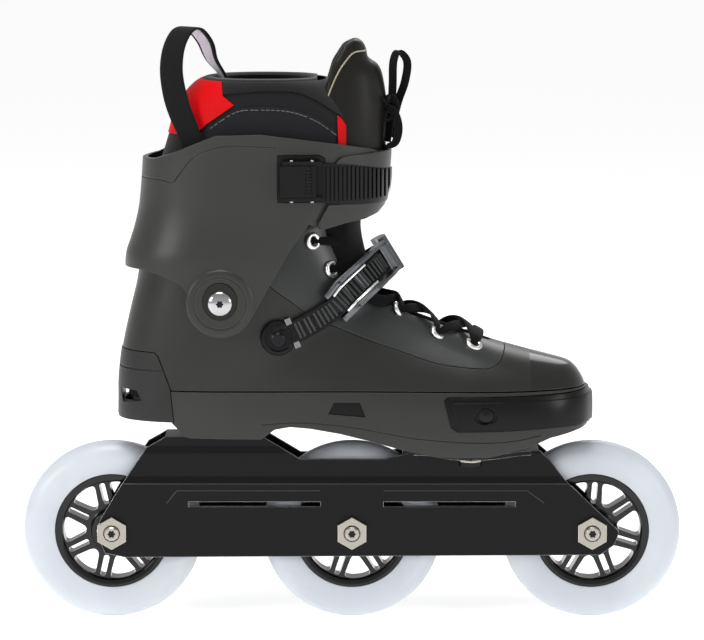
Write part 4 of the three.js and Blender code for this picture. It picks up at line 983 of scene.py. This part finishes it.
# %% Laces
SURFACE_STEPS = 8
SURFACE_ROWS = rounded(LAST, SURFACE_STEPS)
RUN_STEPS = 20
LACE_DIP = 1.6
LACE_WIDTH = 7.5
LACE_THICK = 1.7
LACE_LIFT = 2.2


def surface(u, angle, offset):
    """A point of the boot at a place along its rows and round its ring."""
    low = min(int(u), len(SURFACE_ROWS) - 2)
    row = Vector(SURFACE_ROWS[low]).lerp(Vector(SURFACE_ROWS[low + 1]), u - low)
    return Vector(boot_spot(tuple(row), lateness(u / SURFACE_STEPS), offset, angle))


def facing_at(u, angle):
    """A place on the boot's surface and the way out of it."""
    spot = surface(u, angle, 0)
    return spot, (surface(u, angle, 5) - spot).normalized()


def laid(made, spot, out):
    """Turns a piece made round the Y axis to point outwards at a place on the boot."""
    turn = Vector((0, 1, 0)).rotation_difference(out).to_matrix().to_4x4()
    made.data.transform(Matrix.Translation(spot * MM) @ turn)


def ring_place(x, z):
    """The place along the rows and round the ring that is nearest to a side place."""
    best = None
    for u in range(0, len(SURFACE_ROWS) - 1):
        for step in range(4, 60):
            angle = math.radians(step * 2)
            spot = surface(u, angle, 0)
            miss = (spot.x - x) ** 2 + (spot.z - SEAM_Z - z) ** 2
            if best is None or miss < best[0]:
                best = (miss, u, angle)
    return best[1], best[2]


EYELET_PLACES = [ring_place(x, z) for x, z in EYELETS]
print("eyelets on the last:", EYELET_PLACES)


def lace_run(name, start, stop, side, lift):
    """A run of lace from one eyelet over the top to another on the other side."""
    line, outs = [], []
    for i in range(RUN_STEPS + 1):
        t = i / RUN_STEPS
        u = start[0] + (stop[0] - start[0]) * t
        angle = (start[1] * (1 - t) - stop[1] * t) * side
        rise = min(1, 9 * min(t, 1 - t))
        arch = lift * math.sin(math.pi * t) + (LACE_LIFT + LACE_DIP) * rise - LACE_DIP
        line.append(surface(u, angle, arch))
        outs.append(facing_at(u, angle)[1])
    across = [along_at(line, i).cross(out).normalized() for i, out in enumerate(outs)]
    return band(name, line, across, LACE_WIDTH, LACE_THICK, ends=0.6)


runs = [lace_run("run", EYELET_PLACES[-1], EYELET_PLACES[-1], 1, 2.0)]
for lower, upper in zip(EYELET_PLACES[:0:-1], EYELET_PLACES[-2::-1]):
    runs.append(lace_run("run", lower, upper, 1, 1.6))
    runs.append(lace_run("run", lower, upper, -1, 4.2))
laces = together("flat_laces", runs)
finished(laces, LACE, "boot", ["laces"], 60)

# %% [markdown]
# Each eyelet is a short nickel ferrule, rolled over outside. One is turned and copied to its places,
# each copy lying flat on the facing.

# %% Eyelets
EYELET_PROFILE = [
    (3.1, -1.2), (3.1, 1.0), (3.4, 1.5), (4.2, 1.8), (5.3, 1.75), (6.1, 1.2), (6.3, 0.3),
    (6.2, -0.7), (4, -1.2),
]
master = turned("eyelet", EYELET_PROFILE, (0, 0), 32)
copies = []
for side in SIDES.values():
    for u, angle in EYELET_PLACES:
        one = master.copy()
        one.data = master.data.copy()
        bpy.context.collection.objects.link(one)
        laid(one, *facing_at(u, angle * side))
        copies.append(one)
bpy.data.objects.remove(master)
finished(together("eyelet_rings", copies), BRIGHT, "boot", angle=89)

# %% [markdown]
# The forty-five degree strap is a ratchet ladder: two rails with teeth between them, which the buckle's
# pawl climbs. It starts at a round anchor with a screw, and a gunmetal buckle pulls it over the instep.

# %% Instep strap
STRAP_PIVOT = (-50.5, 37.7)
STRAP_SIDE = [(-50.5, 37.7), (-40, 42.5), (-30, 48), (-16, 57)]
STRAP_OVER = [
    ((-4, -37, 66), (0.35, -0.85, 0.3)), ((7.5, -28, 76), (0.5, -0.78, 0.38)),
    ((17.5, -15, 84), (0.72, -0.5, 0.47)), ((21.5, 0, 87), (0.85, 0, 0.52)),
]
STRAP_LIFT = 3.2
STRAP_WIDTH = 16
UNDER_LEVER = 5
stops = []
for x, z in STRAP_SIDE:
    u, angle = ring_place(x, z)
    spot, out = facing_at(u, -angle)
    stops.append((*(spot + out * STRAP_LIFT), *out))
for (x, y, z), out in STRAP_OVER:
    stops.append((x, y, z + SEAM_Z, *Vector(out).normalized()))
strap_path = rounded(stops, 10)[:-UNDER_LEVER]
line = [Vector(p[:3]) for p in strap_path]
outs = [Vector(p[3:]).normalized() for p in strap_path]
across = [along_at(line, i).cross(out).normalized() for i, out in enumerate(outs)]


def beside(reach, lift):
    """The strap's line, moved sideways and outwards."""
    return [p + a * reach + o * lift for p, a, o in zip(line, across, outs)]


parts = [band("ladder", line, across, STRAP_WIDTH, 2.2, 6)]
for sign in (1, -1):
    rail = beside(sign * (STRAP_WIDTH / 2 - 1.3), 1.2)
    parts.append(band("rail", rail, across, 2.4, 2.4, 4, 12))
strap_base = together("instep_ladder", parts)
RIB_PITCH = 3.6
RIB_REACH = 5.6
travel = 0
next_rib = 13
ribs = []
for i in range(1, len(line)):
    travel += (line[i] - line[i - 1]).length
    if travel < next_rib:
        continue
    next_rib += RIB_PITCH
    along = (line[i] - line[i - 1]).normalized()
    middle = line[i] + outs[i] * 1.5
    ends = [middle - across[i] * RIB_REACH, middle, middle + across[i] * RIB_REACH]
    ribs.append(band("rib", ends, [along] * 3, 1.9, 1.8, 3, 10))
print(len(ribs), "teeth on the ladder")
ANCHOR_PROFILE = [
    (0, 1.0), (12, 1.0), (12.2, 4.4), (11.4, 5.7), (9.6, 6.0), (8.8, 5.0), (6.2, 5.0), (5.6, 5.6),
    (0, 5.6),
]
disc = turned("disc", ANCHOR_PROFILE, (0, 0), 56)
anchor_u, anchor_turn = ring_place(*STRAP_PIVOT)
laid(disc, *facing_at(anchor_u, -anchor_turn))
finished(together("ladder_teeth", ribs), TOOTH_BLACK_HIGHLIGHT, "boot", angle=50)
strap_base = together("instep_ladder", [strap_base, disc])
finished(strap_base, BLACK, "boot", ["instep_strap"], 40)
tabs = []
TAB_AT = 9
TAB_HALF = (line[TAB_AT + 1] - line[TAB_AT]).normalized() * 1.9
for sign in (1, -1):
    middle = beside(sign * 8.6, 1.6)[TAB_AT]
    ends = [middle - TAB_HALF, middle, middle + TAB_HALF]
    tabs.append(band("tab", ends, [across[TAB_AT]] * 3, 4.2, 2.6, 8))
finished(together("ladder_tabs", tabs), GREY_TAB, "boot", angle=40)

# %% Buckle rails
RAIL_SPAN = slice(34, -12)
WALL_SPAN = slice(31, -8)
rails, side_walls = [], []
for sign in (1, -1):
    rail = beside(sign * 7.4, 4.4)[RAIL_SPAN]
    rails.append(band("rail", rail, across[RAIL_SPAN], 1.7, 1.5, 5, 12))
    wall = beside(sign * 10.6, 1.6)[WALL_SPAN]
    side_walls.append(band("wall", wall, across[WALL_SPAN], 4.6, 6.4, 4, 16))
finished(together("buckle_rails", rails), BRIGHT, "boot", angle=50)
finished(together("buckle_cheeks", side_walls), GUNMETAL, "boot", angle=50)

# %% [markdown]
# The top strap lies on the cuff and runs into the memory buckle. Its ribs are moulded on: upright bars
# that follow the cuff's curve, made by cutting a thicker layer of the cuff's form with a comb of
# strips.

# %% Cuff strap
CUFF_STRAP_SIDE = [(-20, 131.5), (-20, 158.8), (0, 157), (34, 150.5), (34, 128.5), (0, 129.6)]
strap_skin = skin("top_strap", cuff_form, 2.9, 0.4, CUFF_STRAP_SIDE, -FAR, -4)
finished(strap_skin, BLACK, "cuff", ["cuff_strap"])
BAR_WIDTH = 1.6
BAR_PITCH = 2.9
BAR_LOW, BAR_HIGH = 132.6, 156.2
BAR_SLOPE = 0.17
bars = []
x = -17.5
while x < 26:
    top = BAR_HIGH - max(0, x) * BAR_SLOPE
    bars.append([(x, BAR_LOW), (x + BAR_WIDTH, BAR_LOW), (x + BAR_WIDTH, top), (x, top)])
    x += BAR_PITCH
comb = together("comb", [slab(bar, -FAR, -6) for bar in bars])
ribbing = within(cuff_form(3.7), comb)
cut(ribbing, cuff_form(2.6))
finished(ribbing, BLACK, "cuff")
ribbing.name = "top_strap_ribs"

# %% [markdown]
# The memory buckle has a knurled thumb roller along its free edge, and its hinge pins show as bright
# ends above and below. Both are small drums turned round an upright axis.

# %% Buckle roller and pins


def drum(name, x, y, profile, count=20):
    """A drum round an upright axis, from pairs [height above the seam, radius]."""
    rows = []
    for z, radius in profile:
        angles = [(i % count) / count * 2 * math.pi for i in range(count + 1)]
        rows.append([(x + radius * math.cos(a), y + radius * math.sin(a), z + SEAM_Z) for a in angles])
    return rolled(name, rows)


KNURL_LOW = 137.6
KNURL_PITCH = 2.15
knurl = []
for i in range(9):
    z = KNURL_LOW + i * KNURL_PITCH
    knurl += [(z, 1.5), (z + 0.3, 2.1), (z + 1.6, 2.1), (z + 1.9, 1.5)]
roller = drum("buckle_roller", -29.2, -60.6, knurl)
finished(roller, BLACK, "cuff_lever")
PIN_X = (-41, -27)
PIN_HEIGHTS = ((160.2, 161.6), (132.4, 133.8))
pins = []
for x in PIN_X:
    for low, high in PIN_HEIGHTS:
        profile = [(low, 1.0), (low + 0.2, 1.3), (high - 0.2, 1.3), (high, 1.0)]
        pins.append(drum("pin", x, -57.0, profile))
finished(together("buckle_pins", pins), CHROME, "cuff")

# %% [markdown]
# The liner is a padded boot of knit and foam. Its collar is one soft ring whose wall rolls over at the
# rim, with a fleece binding, a red heel patch and a red edge beside the tongue. Each covering is a thin
# layer of the same form, cut to its outline, so that it lies on the foam as sewn cloth does.

# %% Liner collar
COLLAR_SOFT = [
    (118, -138, 14, 45), (134, -136, 14, 46), (150, -134, 14, 46), (165, -129.5, 13, 46.4),
    (178, -125.5, 10.5, 46), (190, -122, 6.5, 45), (201, -116, -1, 43), (209, -109, -10, 40.5),
    (212.8, -103.5, -17, 37.5),
]


def collar_form(offset):
    """The collar's outer form, grown by an offset."""
    return level_form(COLLAR_SOFT, offset)


def collar_ring(row, inset):
    """A ring of the collar, moved inwards."""
    z, back, front, width = row
    return level_ring((z, back + inset, front - inset, width - inset), 0)


LIP = [(2, 1.2), (5, 1.8), (8, 1.2), (10, -0.6)]
COLLAR_WALL = 11
outer = [level_ring(row, 0) for row in rounded(COLLAR_SOFT, 4)]
top = COLLAR_SOFT[-1]
lip = [collar_ring((top[0] + lift, *top[1:]), inset) for inset, lift in LIP]
inner = [collar_ring(row, COLLAR_WALL) for row in rounded(COLLAR_SOFT[::-1], 4)]
collar_rows = outer + lip + inner
collar = rolled("collar_padding", collar_rows + collar_rows[:1])
tongue_seat = within(level_form(TONGUE_ROWS, 0.8), box_slab(-24, FAR, -FAR, FAR, 100, FAR))
cut(collar, box_slab(-4, FAR, -FAR, FAR, 100, FAR), tongue_seat, slab(under_rim(12)))
finished(collar, LINER_CLOTH, "cuff", ["liner_collar"], 60)
collar.data.materials.append(INNER_CLOTH)
MOUTH_CENTRE = at(-60, 0, 0)
for face in collar.data.polygons:
    outward = (face.center - MOUTH_CENTRE) * Vector((1, 1, 0))
    if face.normal.dot(outward.normalized()) < 0.25:
        face.material_index = 1


def covering(name, lift, outline, material):
    """A thin layer sewn on the collar, open where the tongue is."""
    made = skin(name, collar_form, lift, -1, outline)
    cut(made, box_slab(-4, FAR, -FAR, FAR, 100, FAR))
    finished(made, material, "cuff", angle=50)


HEEL_PATCH = [
    (-150, 176), (-150, 214), (-89, 214), (-88, 203.5), (-80.3, 197.5), (-98.7, 184.6), (-108, 176),
]
FRONT_EDGE = [(-9, 160), (-3, 160), (-3, 181), (-7, 187.5), (-10, 190)]
BINDING = [
    (-88, 204.5), (-76, 205.6), (-62, 207), (-42, 206.8), (-35, 205.4), (-25, 201), (-3, 186.5),
    (10, 181), (10, 230), (-88, 230),
]
PANEL = [
    (-107, 150), (-107, 172), (-97.5, 182.8), (-79, 194.8), (-62, 196.5), (-42, 195.2),
    (-25, 189), (-11, 179), (-11, 150),
]
covering("red_heel_patch", 1.0, HEEL_PATCH, RED)
covering("red_front_edge", 1.3, FRONT_EDGE, RED)
covering("rim_binding", 1.1, BINDING, BINDING_CLOTH)
covering("collar_panel", 0.8, PANEL, PANEL_CLOTH)

# %% [markdown]
# The panel is sewn on with a lockstitch three millimetres long, which runs just below its edge on
# both sides of the collar. One stitch is a short rounded thread, placed along the line.

# %% Stitches


def collar_side(x, z):
    """How far out the collar is at a side place."""
    rows = rounded(COLLAR_SOFT, 5)
    after = next(i for i, row in enumerate(rows) if row[0] >= z)
    low, high = Vector(rows[after - 1]), Vector(rows[after])
    level, back, front, width = low.lerp(high, (z - low[0]) / (high[0] - low[0]))
    reach = abs(x - (back + front) / 2) / ((front - back) / 2)
    return width * (1 - min(0.999, reach) ** LEVEL_SQUARENESS) ** (1 / LEVEL_SQUARENESS)


SEAM_DROP = 2.2
STITCH = 2.4
STITCH_PITCH = 3.4
seam_line = [Vector((x, z - SEAM_DROP)) for x, z in rounded(PANEL[2:8], 12)]
stitches = []
gone, next_stitch = 0, 2
for before, here in zip(seam_line, seam_line[1:]):
    gone += (here - before).length
    if gone < next_stitch:
        continue
    next_stitch += STITCH_PITCH
    way = (here - before).normalized() * STITCH / 2
    for side in SIDES.values():
        ends = []
        for spot in (here - way, here, here + way):
            ends.append((spot.x, side * (collar_side(spot.x, spot.y) + 0.95), spot.y + SEAM_Z))
        stitches.append(band("stitch", ends, [(0, 0, 1)] * 3, 0.75, 0.6, 2, 6))
print(len(stitches), "stitches")
finished(together("collar_stitches", stitches), THREAD, "cuff", angle=60)

# %% [markdown]
# The tongue is a stiff foam pad in artificial leather, curved round the shin. It is cut from the
# tongue's form, remeshed to an even net and smoothed, which rounds its edges as foam does under a skin.

# %% Tongue
TONGUE_SIDE = [
    (-14, 122), (12, 122), (30, 150), (30, 186), (26, 200), (22, 214), (18, 223), (10.2, 226.6),
    (10.6, 236), (2.8, 240.9), (-6.2, 236.1), (-13.8, 223.7), (-18.6, 207.1), (-12, 170),
]
TONGUE_EDGE = [(-17.5, 199), (-14.5, 207.5), (-9.5, 218.5), (-4, 226.5), (1.5, 231.6), (9.5, 232.3)]


def tongue_form(offset):
    """The tongue's outer form, grown by an offset."""
    return level_form(TONGUE_ROWS, offset)


def soft_edges(made, voxel, passes):
    """An even net of small faces, smoothed so that its edges round off."""
    bpy.context.view_layer.objects.active = made
    remesh = made.modifiers.new("net", "REMESH")
    remesh.mode = "VOXEL"
    remesh.voxel_size = voxel * MM
    bpy.ops.object.modifier_apply(modifier=remesh.name)
    soften = made.modifiers.new("soften", "SMOOTH")
    soften.iterations = passes
    soften.factor = 0.5
    bpy.ops.object.modifier_apply(modifier=soften.name)


tongue = skin("tongue_pad", tongue_form, 0.5, -10, TONGUE_SIDE)
cut(tongue, box_slab(-60, 60, 13, 60, 100, 134), box_slab(-60, 60, -60, -13, 100, 134))
soft_edges(tongue, 1.2, 30)
finished(tongue, TONGUE, "cuff", ["tongue_upper"], 80)
piping = skin("tongue_piping", tongue_form, 1.1, -1.5, strip(rounded(TONGUE_EDGE), 1.0))
finished(piping, PIPING, "cuff", angle=60)

# %% Tongue in the throat
THROAT_ROWS = [
    (62, -60, 20, 30), (84, -60, 12, 32), (98, -60, 8, 34), (112, -60, 6, 35), (130, -60, 8, 35),
]
THROAT_SIDE = [(-36, 88), (-8, 70), (24, 62), (24, 128), (-36, 128)]


def throat_form(offset):
    """The form of the tongue's middle part, grown by an offset."""
    return level_form(THROAT_ROWS, offset)


throat_pad = skin("tongue_throat", throat_form, 0, -7, THROAT_SIDE)
cut(throat_pad, box_slab(-60, 60, 27, 60, 60, 134), box_slab(-60, 60, -60, -27, 60, 134))
soft_edges(throat_pad, 1.8, 6)
throat_pad.data.materials.clear()
throat_pad.data.materials.append(THROAT_CLOTH)
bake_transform(throat_pad)

# %% [markdown]
# Below, the liner's foot part and the tongue's lower half lie under the shell. They are layers of the
# last's own form, set inwards, with their cut edges softened in the same way.

# %% Liner foot and lower tongue
LINER_OUT = -7.4
LINER_IN = -14.4
LINER_FLOOR = -7.2
TONGUE_FOOT_T = 6
TONGUE_SPACE = [(104, 4), (60, 10), (20, 24), (-15, 50), (-40, 76), (-40, 190), (104, 190)]
LINER_SIDE = [(x, z - 8) for x, z in BOOT_RIM]
LINER_SIDE += [(200, 40), (200, LINER_FLOOR), (-200, LINER_FLOOR)]
tongue_room = plate("room", grown(TONGUE_SPACE, 0.5), -22.6, 22.6)
liner_foot = skin("liner_foot_padding", boot_form, LINER_OUT, LINER_IN, LINER_SIDE)
cut(liner_foot, tongue_room)
finished(liner_foot, LINER_CLOTH, "boot", ["liner_foot"], 60)
tongue_foot = skin(
    "tongue_foot_pad", boot_form, LINER_OUT, LINER_OUT - TONGUE_FOOT_T, TONGUE_SPACE, -22, 22
)
within(tongue_foot, slab(under_rim(-2)))
soft_edges(tongue_foot, 1.6, 4)
finished(tongue_foot, THROAT_CLOTH, "boot", ["tongue_lower"], 80)

# %% [markdown]
# The pull loop is a webbing strap sewn to the heel of the liner: black outside, with a pale tape sewn
# on its inner face. The lace ends stand up in a loop and a bow in front of the tongue.

# %% Pull loop
PULL_PATH = [
    (-108, -36.4, 168, -37), (-112, -36, 180, -37), (-118, -32, 194, -37), (-122, -27, 208, -37),
    (-123.5, -23, 222, -38), (-121.5, -18, 236, -40), (-116, -12, 246, -42), (-109, -5, 247, -46),
    (-101.5, 0, 238, -52), (-97, 2, 226, -62), (-89, 2, 214, -74), (-87, 2, 203, -80),
]
pull = rounded(PULL_PATH, 5)
pull_line = above_seam(pull)
pull_turns = [math.radians(way) for *spot, way in pull]
pull_across = [Vector((math.cos(way), math.sin(way), 0)) for way in pull_turns]
webbing = band("pull_webbing", pull_line, pull_across, 20, 1.8, 5)
finished(webbing, WEBBING, "cuff", ["pull_loop"], 60)
loop_centre = above_seam([(-106, -15, 215)])[0]
pale_line = []
for i, here in enumerate(pull_line):
    out = along_at(pull_line, i).cross(pull_across[i]).normalized()
    if out.dot(loop_centre - here) < 0:
        out = -out
    pale_line.append(here + out * 0.9)
pale = band("pull_tape", pale_line[2:-1], pull_across[2:-1], 12.5, 1.0, 5)
finished(pale, PALE_TAPE, "cuff", angle=60)

# %% Lace loop and bow
LOOP_PATH = [
    (24, -5, 169), (27, -3, 190), (28, -2, 208), (28.5, -1, 224), (32, 0, 231), (38, 0.5, 224),
    (36.5, 1, 210), (31.5, 2.5, 195), (26, 5, 172),
]
LOOP_WIDTH = 7.5
loop_line = above_seam(rounded(LOOP_PATH, 6))
loop_across = [Vector((1, -1, 0.1))] * len(loop_line)
loop = band("lace_loop_free", loop_line, loop_across, LOOP_WIDTH, 1.6)
finished(loop, LACE, "cuff", ["lace_loop"], 60)
BOW = [
    [(23, -9, 193), (17, -14, 200), (10, -16, 193), (9, -16, 180), (14, -14, 171), (21, -9, 168)],
    [(23, -9, 193), (29, -12, 190), (32, -13, 180), (30, -12, 170), (24, -9, 166)],
    [(23, -8, 192), (20, -13, 183), (19, -13, 172), (22, -11, 164)],
    [(22, -7, 196), (27, -10, 200), (30, -10, 193), (26, -9, 186), (20, -11, 184), (17, -12, 190)],
]
strands = []
for path in BOW:
    bow_line = above_seam(rounded(path, 6))
    bow_across = [Vector((0.7, -0.7, 0.2))] * len(bow_line)
    strands.append(band("strand", bow_line, bow_across, LACE_WIDTH, LACE_THICK))
finished(together("lace_bow", strands), LACE, "cuff", angle=60)

# %% [markdown]
# The frame is milled from an extrusion: a ridge runs its whole length where the wall steps in, and a
# fine groove follows the top of each slot and turns down at its end. The cutter leaves the edge of
# each groove bright, which a hair-thin pale strip shows on both walls. Along the ridge the pale strip
# is a painted highlight, standing for the lamp above caught on the chamfer.

# %% Milled lines and painted ridge highlight of the frame
WALL_Y = 17.5
# painted highlight: a pale strip where the chamfer catches the lamp above
RIDGE_HIGHLIGHT = [(-159, 34.6), (151, 34.6)]
REAR_GROOVE = [(-22, 29.8), (-122, 29.8), (-129, 21)]
FRONT_GROOVE = [(22, 29.8), (122, 29.8), (134, 21)]
MILLED_AND_HIGHLIGHT_PATHS = [
    (RIDGE_HIGHLIGHT, 0.5, -0.9, -0.02), (REAR_GROOVE, 0.45, -0.6, 0.08), (FRONT_GROOVE, 0.45, -0.6, 0.08),
]
lines = []
for side in SIDES.values():
    for path, width, deep, proud in MILLED_AND_HIGHLIGHT_PATHS:
        reach = sorted((side * (WALL_Y + deep), side * (WALL_Y + proud)))
        lines.append(plate("line", strip(path, width), *reach, rise=AXLE_Z))
finished(together("frame_milled_lines_and_ridge_highlight", lines), MILLED_AND_HIGHLIGHT, "boot")

# %% [markdown]
# Screws and axles have a star-shaped recess. It is a dark plate with six points, a hair proud of the
# bright head: painted shade that stands in for the hollow of the hole.

# %% Star recesses
STAR_STEPS = 24
STAR_POINT = 0.16
STAR_DEPTH = 0.6


def star(name, x, z, y, radius):
    """A dark six-pointed plate that ends at y: painted shade for the hollow of a recess."""
    points = []
    for i in range(STAR_STEPS):
        angle = i / STAR_STEPS * 2 * math.pi
        reach = radius * (1 + STAR_POINT * math.cos(6 * angle))
        points.append((x + reach * math.cos(angle), z + reach * math.sin(angle)))
    made = plate(name, points, *sorted((y - math.copysign(STAR_DEPTH, y), y)), rise=0)
    finished(made, DARK_STEEL_AND_SHADE, "boot")


for name, x in AXLES.items():
    low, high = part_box("axle_" + name)
    star("axle_star_" + name, x, AXLE_Z, low.y / MM - 0.15, 2.4)
for name, side in SIDES.items():
    low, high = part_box("pivot_bolt_" + name)
    face = (low.y if side < 0 else high.y) / MM
    star("pivot_star_" + name, *PIVOT_PLACE, face + side * 0.1, 2.3)

# %% [markdown]
# The hub is a turned disc with a wide rim and a boss for the bearings. Seven windows and seven narrow
# slots between them leave pairs of spokes. Each opening is an outline with its corners rounded off,
# cut right through.

# %% Hubs
HUB_HALF = [
    (40.25, 9.6), (39.7, 10.2), (36.2, 10.2), (35.3, 9.6), (34.7, 7.4), (16.2, 6.9), (15.2, 7.6),
    (14.6, 11.0), (14.2, 11.4), (11.05, 11.4), (11.05, 4.9), (9.4, 4.9),
]
HUB_PROFILE = HUB_HALF + [(r, -y) for r, y in HUB_HALF[::-1]]
WINDOW = [
    (18.4, -2.4), (32.4, -9.9), (34.3, -4.6), (34.6, 0), (34.3, 4.6), (32.4, 9.9), (18.4, 2.4),
]
SPOKE_SLOT = [(18.6, -2.0), (33.9, -2.0), (33.9, 2.0), (18.6, 2.0)]
SPOKE_PAIRS = 7
WHEEL_TURN = {"rear": 180, "middle": 277, "front": 8.6}


def filleted(points, radius, steps=5):
    """A closed outline with each corner rounded by a short curve."""
    line = []
    for i, corner in enumerate(points):
        corner = Vector(corner)
        before = Vector(points[i - 1]) - corner
        after = Vector(points[(i + 1) % len(points)]) - corner
        start = corner + before.normalized() * min(radius, before.length * 0.45)
        stop = corner + after.normalized() * min(radius, after.length * 0.45)
        for k in range(steps):
            t = k / (steps - 1)
            line.append(tuple(start * (1 - t) ** 2 + corner * 2 * t * (1 - t) + stop * t * t))
    return line


def wheel_cut(outline, degrees, place):
    """A cutter through a wheel at a turn round its axle."""
    turn = math.radians(degrees)
    points = []
    for x, z in outline:
        points.append((
            place[0] + x * math.cos(turn) - z * math.sin(turn),
            place[1] + x * math.sin(turn) + z * math.cos(turn),
        ))
    return plate("cutter", points, -30, 30, rise=0)


for name, x in AXLES.items():
    place = (x, AXLE_Z)
    hub = turned("hub_moulded_" + name, HUB_PROFILE, place, 112)
    cutters = []
    for k in range(SPOKE_PAIRS):
        step = WHEEL_TURN[name] + k * 360 / SPOKE_PAIRS
        cutters.append(wheel_cut(filleted(WINDOW, 3.2), step, place))
        cutters.append(wheel_cut(filleted(SPOKE_SLOT, 1.9), step + 180 / SPOKE_PAIRS, place))
    cut(hub, together("cutters", cutters))
    finished(hub, GLOSS_BLACK, "wheel_" + name, ["hub_" + name], 35)

# %% Ankle bolts and axle rings
BOLT_DOME = [
    (0, 3.1), (2.2, 3.05), (4.2, 2.75), (6.1, 2.15), (7.6, 1.4), (8.3, 0.7), (8.5, 0.2), (8.4, 0),
    (3.9, 0), (3.9, -15.5), (0, -15.5),
]
BOLT_FACE = 55.5
for name, side in SIDES.items():
    profile = mirrored([(r, BOLT_FACE + h) for r, h in BOLT_DOME], side)
    bolt = turned("ankle_bolt_" + name, profile, PIVOT_PLACE)
    finished(bolt, CHROME, "boot", ["pivot_bolt_" + name], 50)
AXLE_RING = [(5.25, 20.8), (5.9, 20.8), (5.9, 21.12), (5.25, 21.12)]
rings = []
for x in AXLES.values():
    for side in SIDES.values():
        rings.append(turned("ring", mirrored(AXLE_RING, side), (x, AXLE_Z), 32))
finished(together("axle_shadow_rings", rings), DARK_STEEL_AND_SHADE, "boot")

# %% [markdown]
# The remaining CAD nodes keep their shape and take a finish by their kind.

# %% Finishes of the CAD nodes
FINISHES = {
    "hub_": GLOSS_BLACK, "bearing_": CHROME, "spacer_": CHROME, "frame": ANODISED,
    "mount_bolt": DARK_STEEL_AND_SHADE, "mount_washer": NICKEL, "axle_insert": NICKEL, "axle_": NICKEL,
    "toe_screw": DARK_STEEL_AND_SHADE, "strap_screw": DARK_STEEL_AND_SHADE, "pivot_bolt": CHROME,
    "pivot_insert": PIVOT_BROWN, "insole": SOFT_FOAM, "liner": LINER_CLOTH, "tongue": TONGUE,
    "laces": LACE, "lace_loop": LACE, "instep_strap": BLACK, "medial_strap": BLACK,
    "instep_buckle": GUNMETAL, "cuff_buckle": BLACK, "cuff_strap": BLACK, "pull_loop": WEBBING,
    "shell": SHELL, "sole": SOLE, "facings": FACING, "heel": HEEL_BLACK, "toe": BLACK,
    "cuff": CUFF, "tyre": URETHANE,
}
for name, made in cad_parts.items():
    kind = next(k for k in FINISHES if name.startswith(k))
    for holder in made.material_slots:
        holder.material = FINISHES[kind]
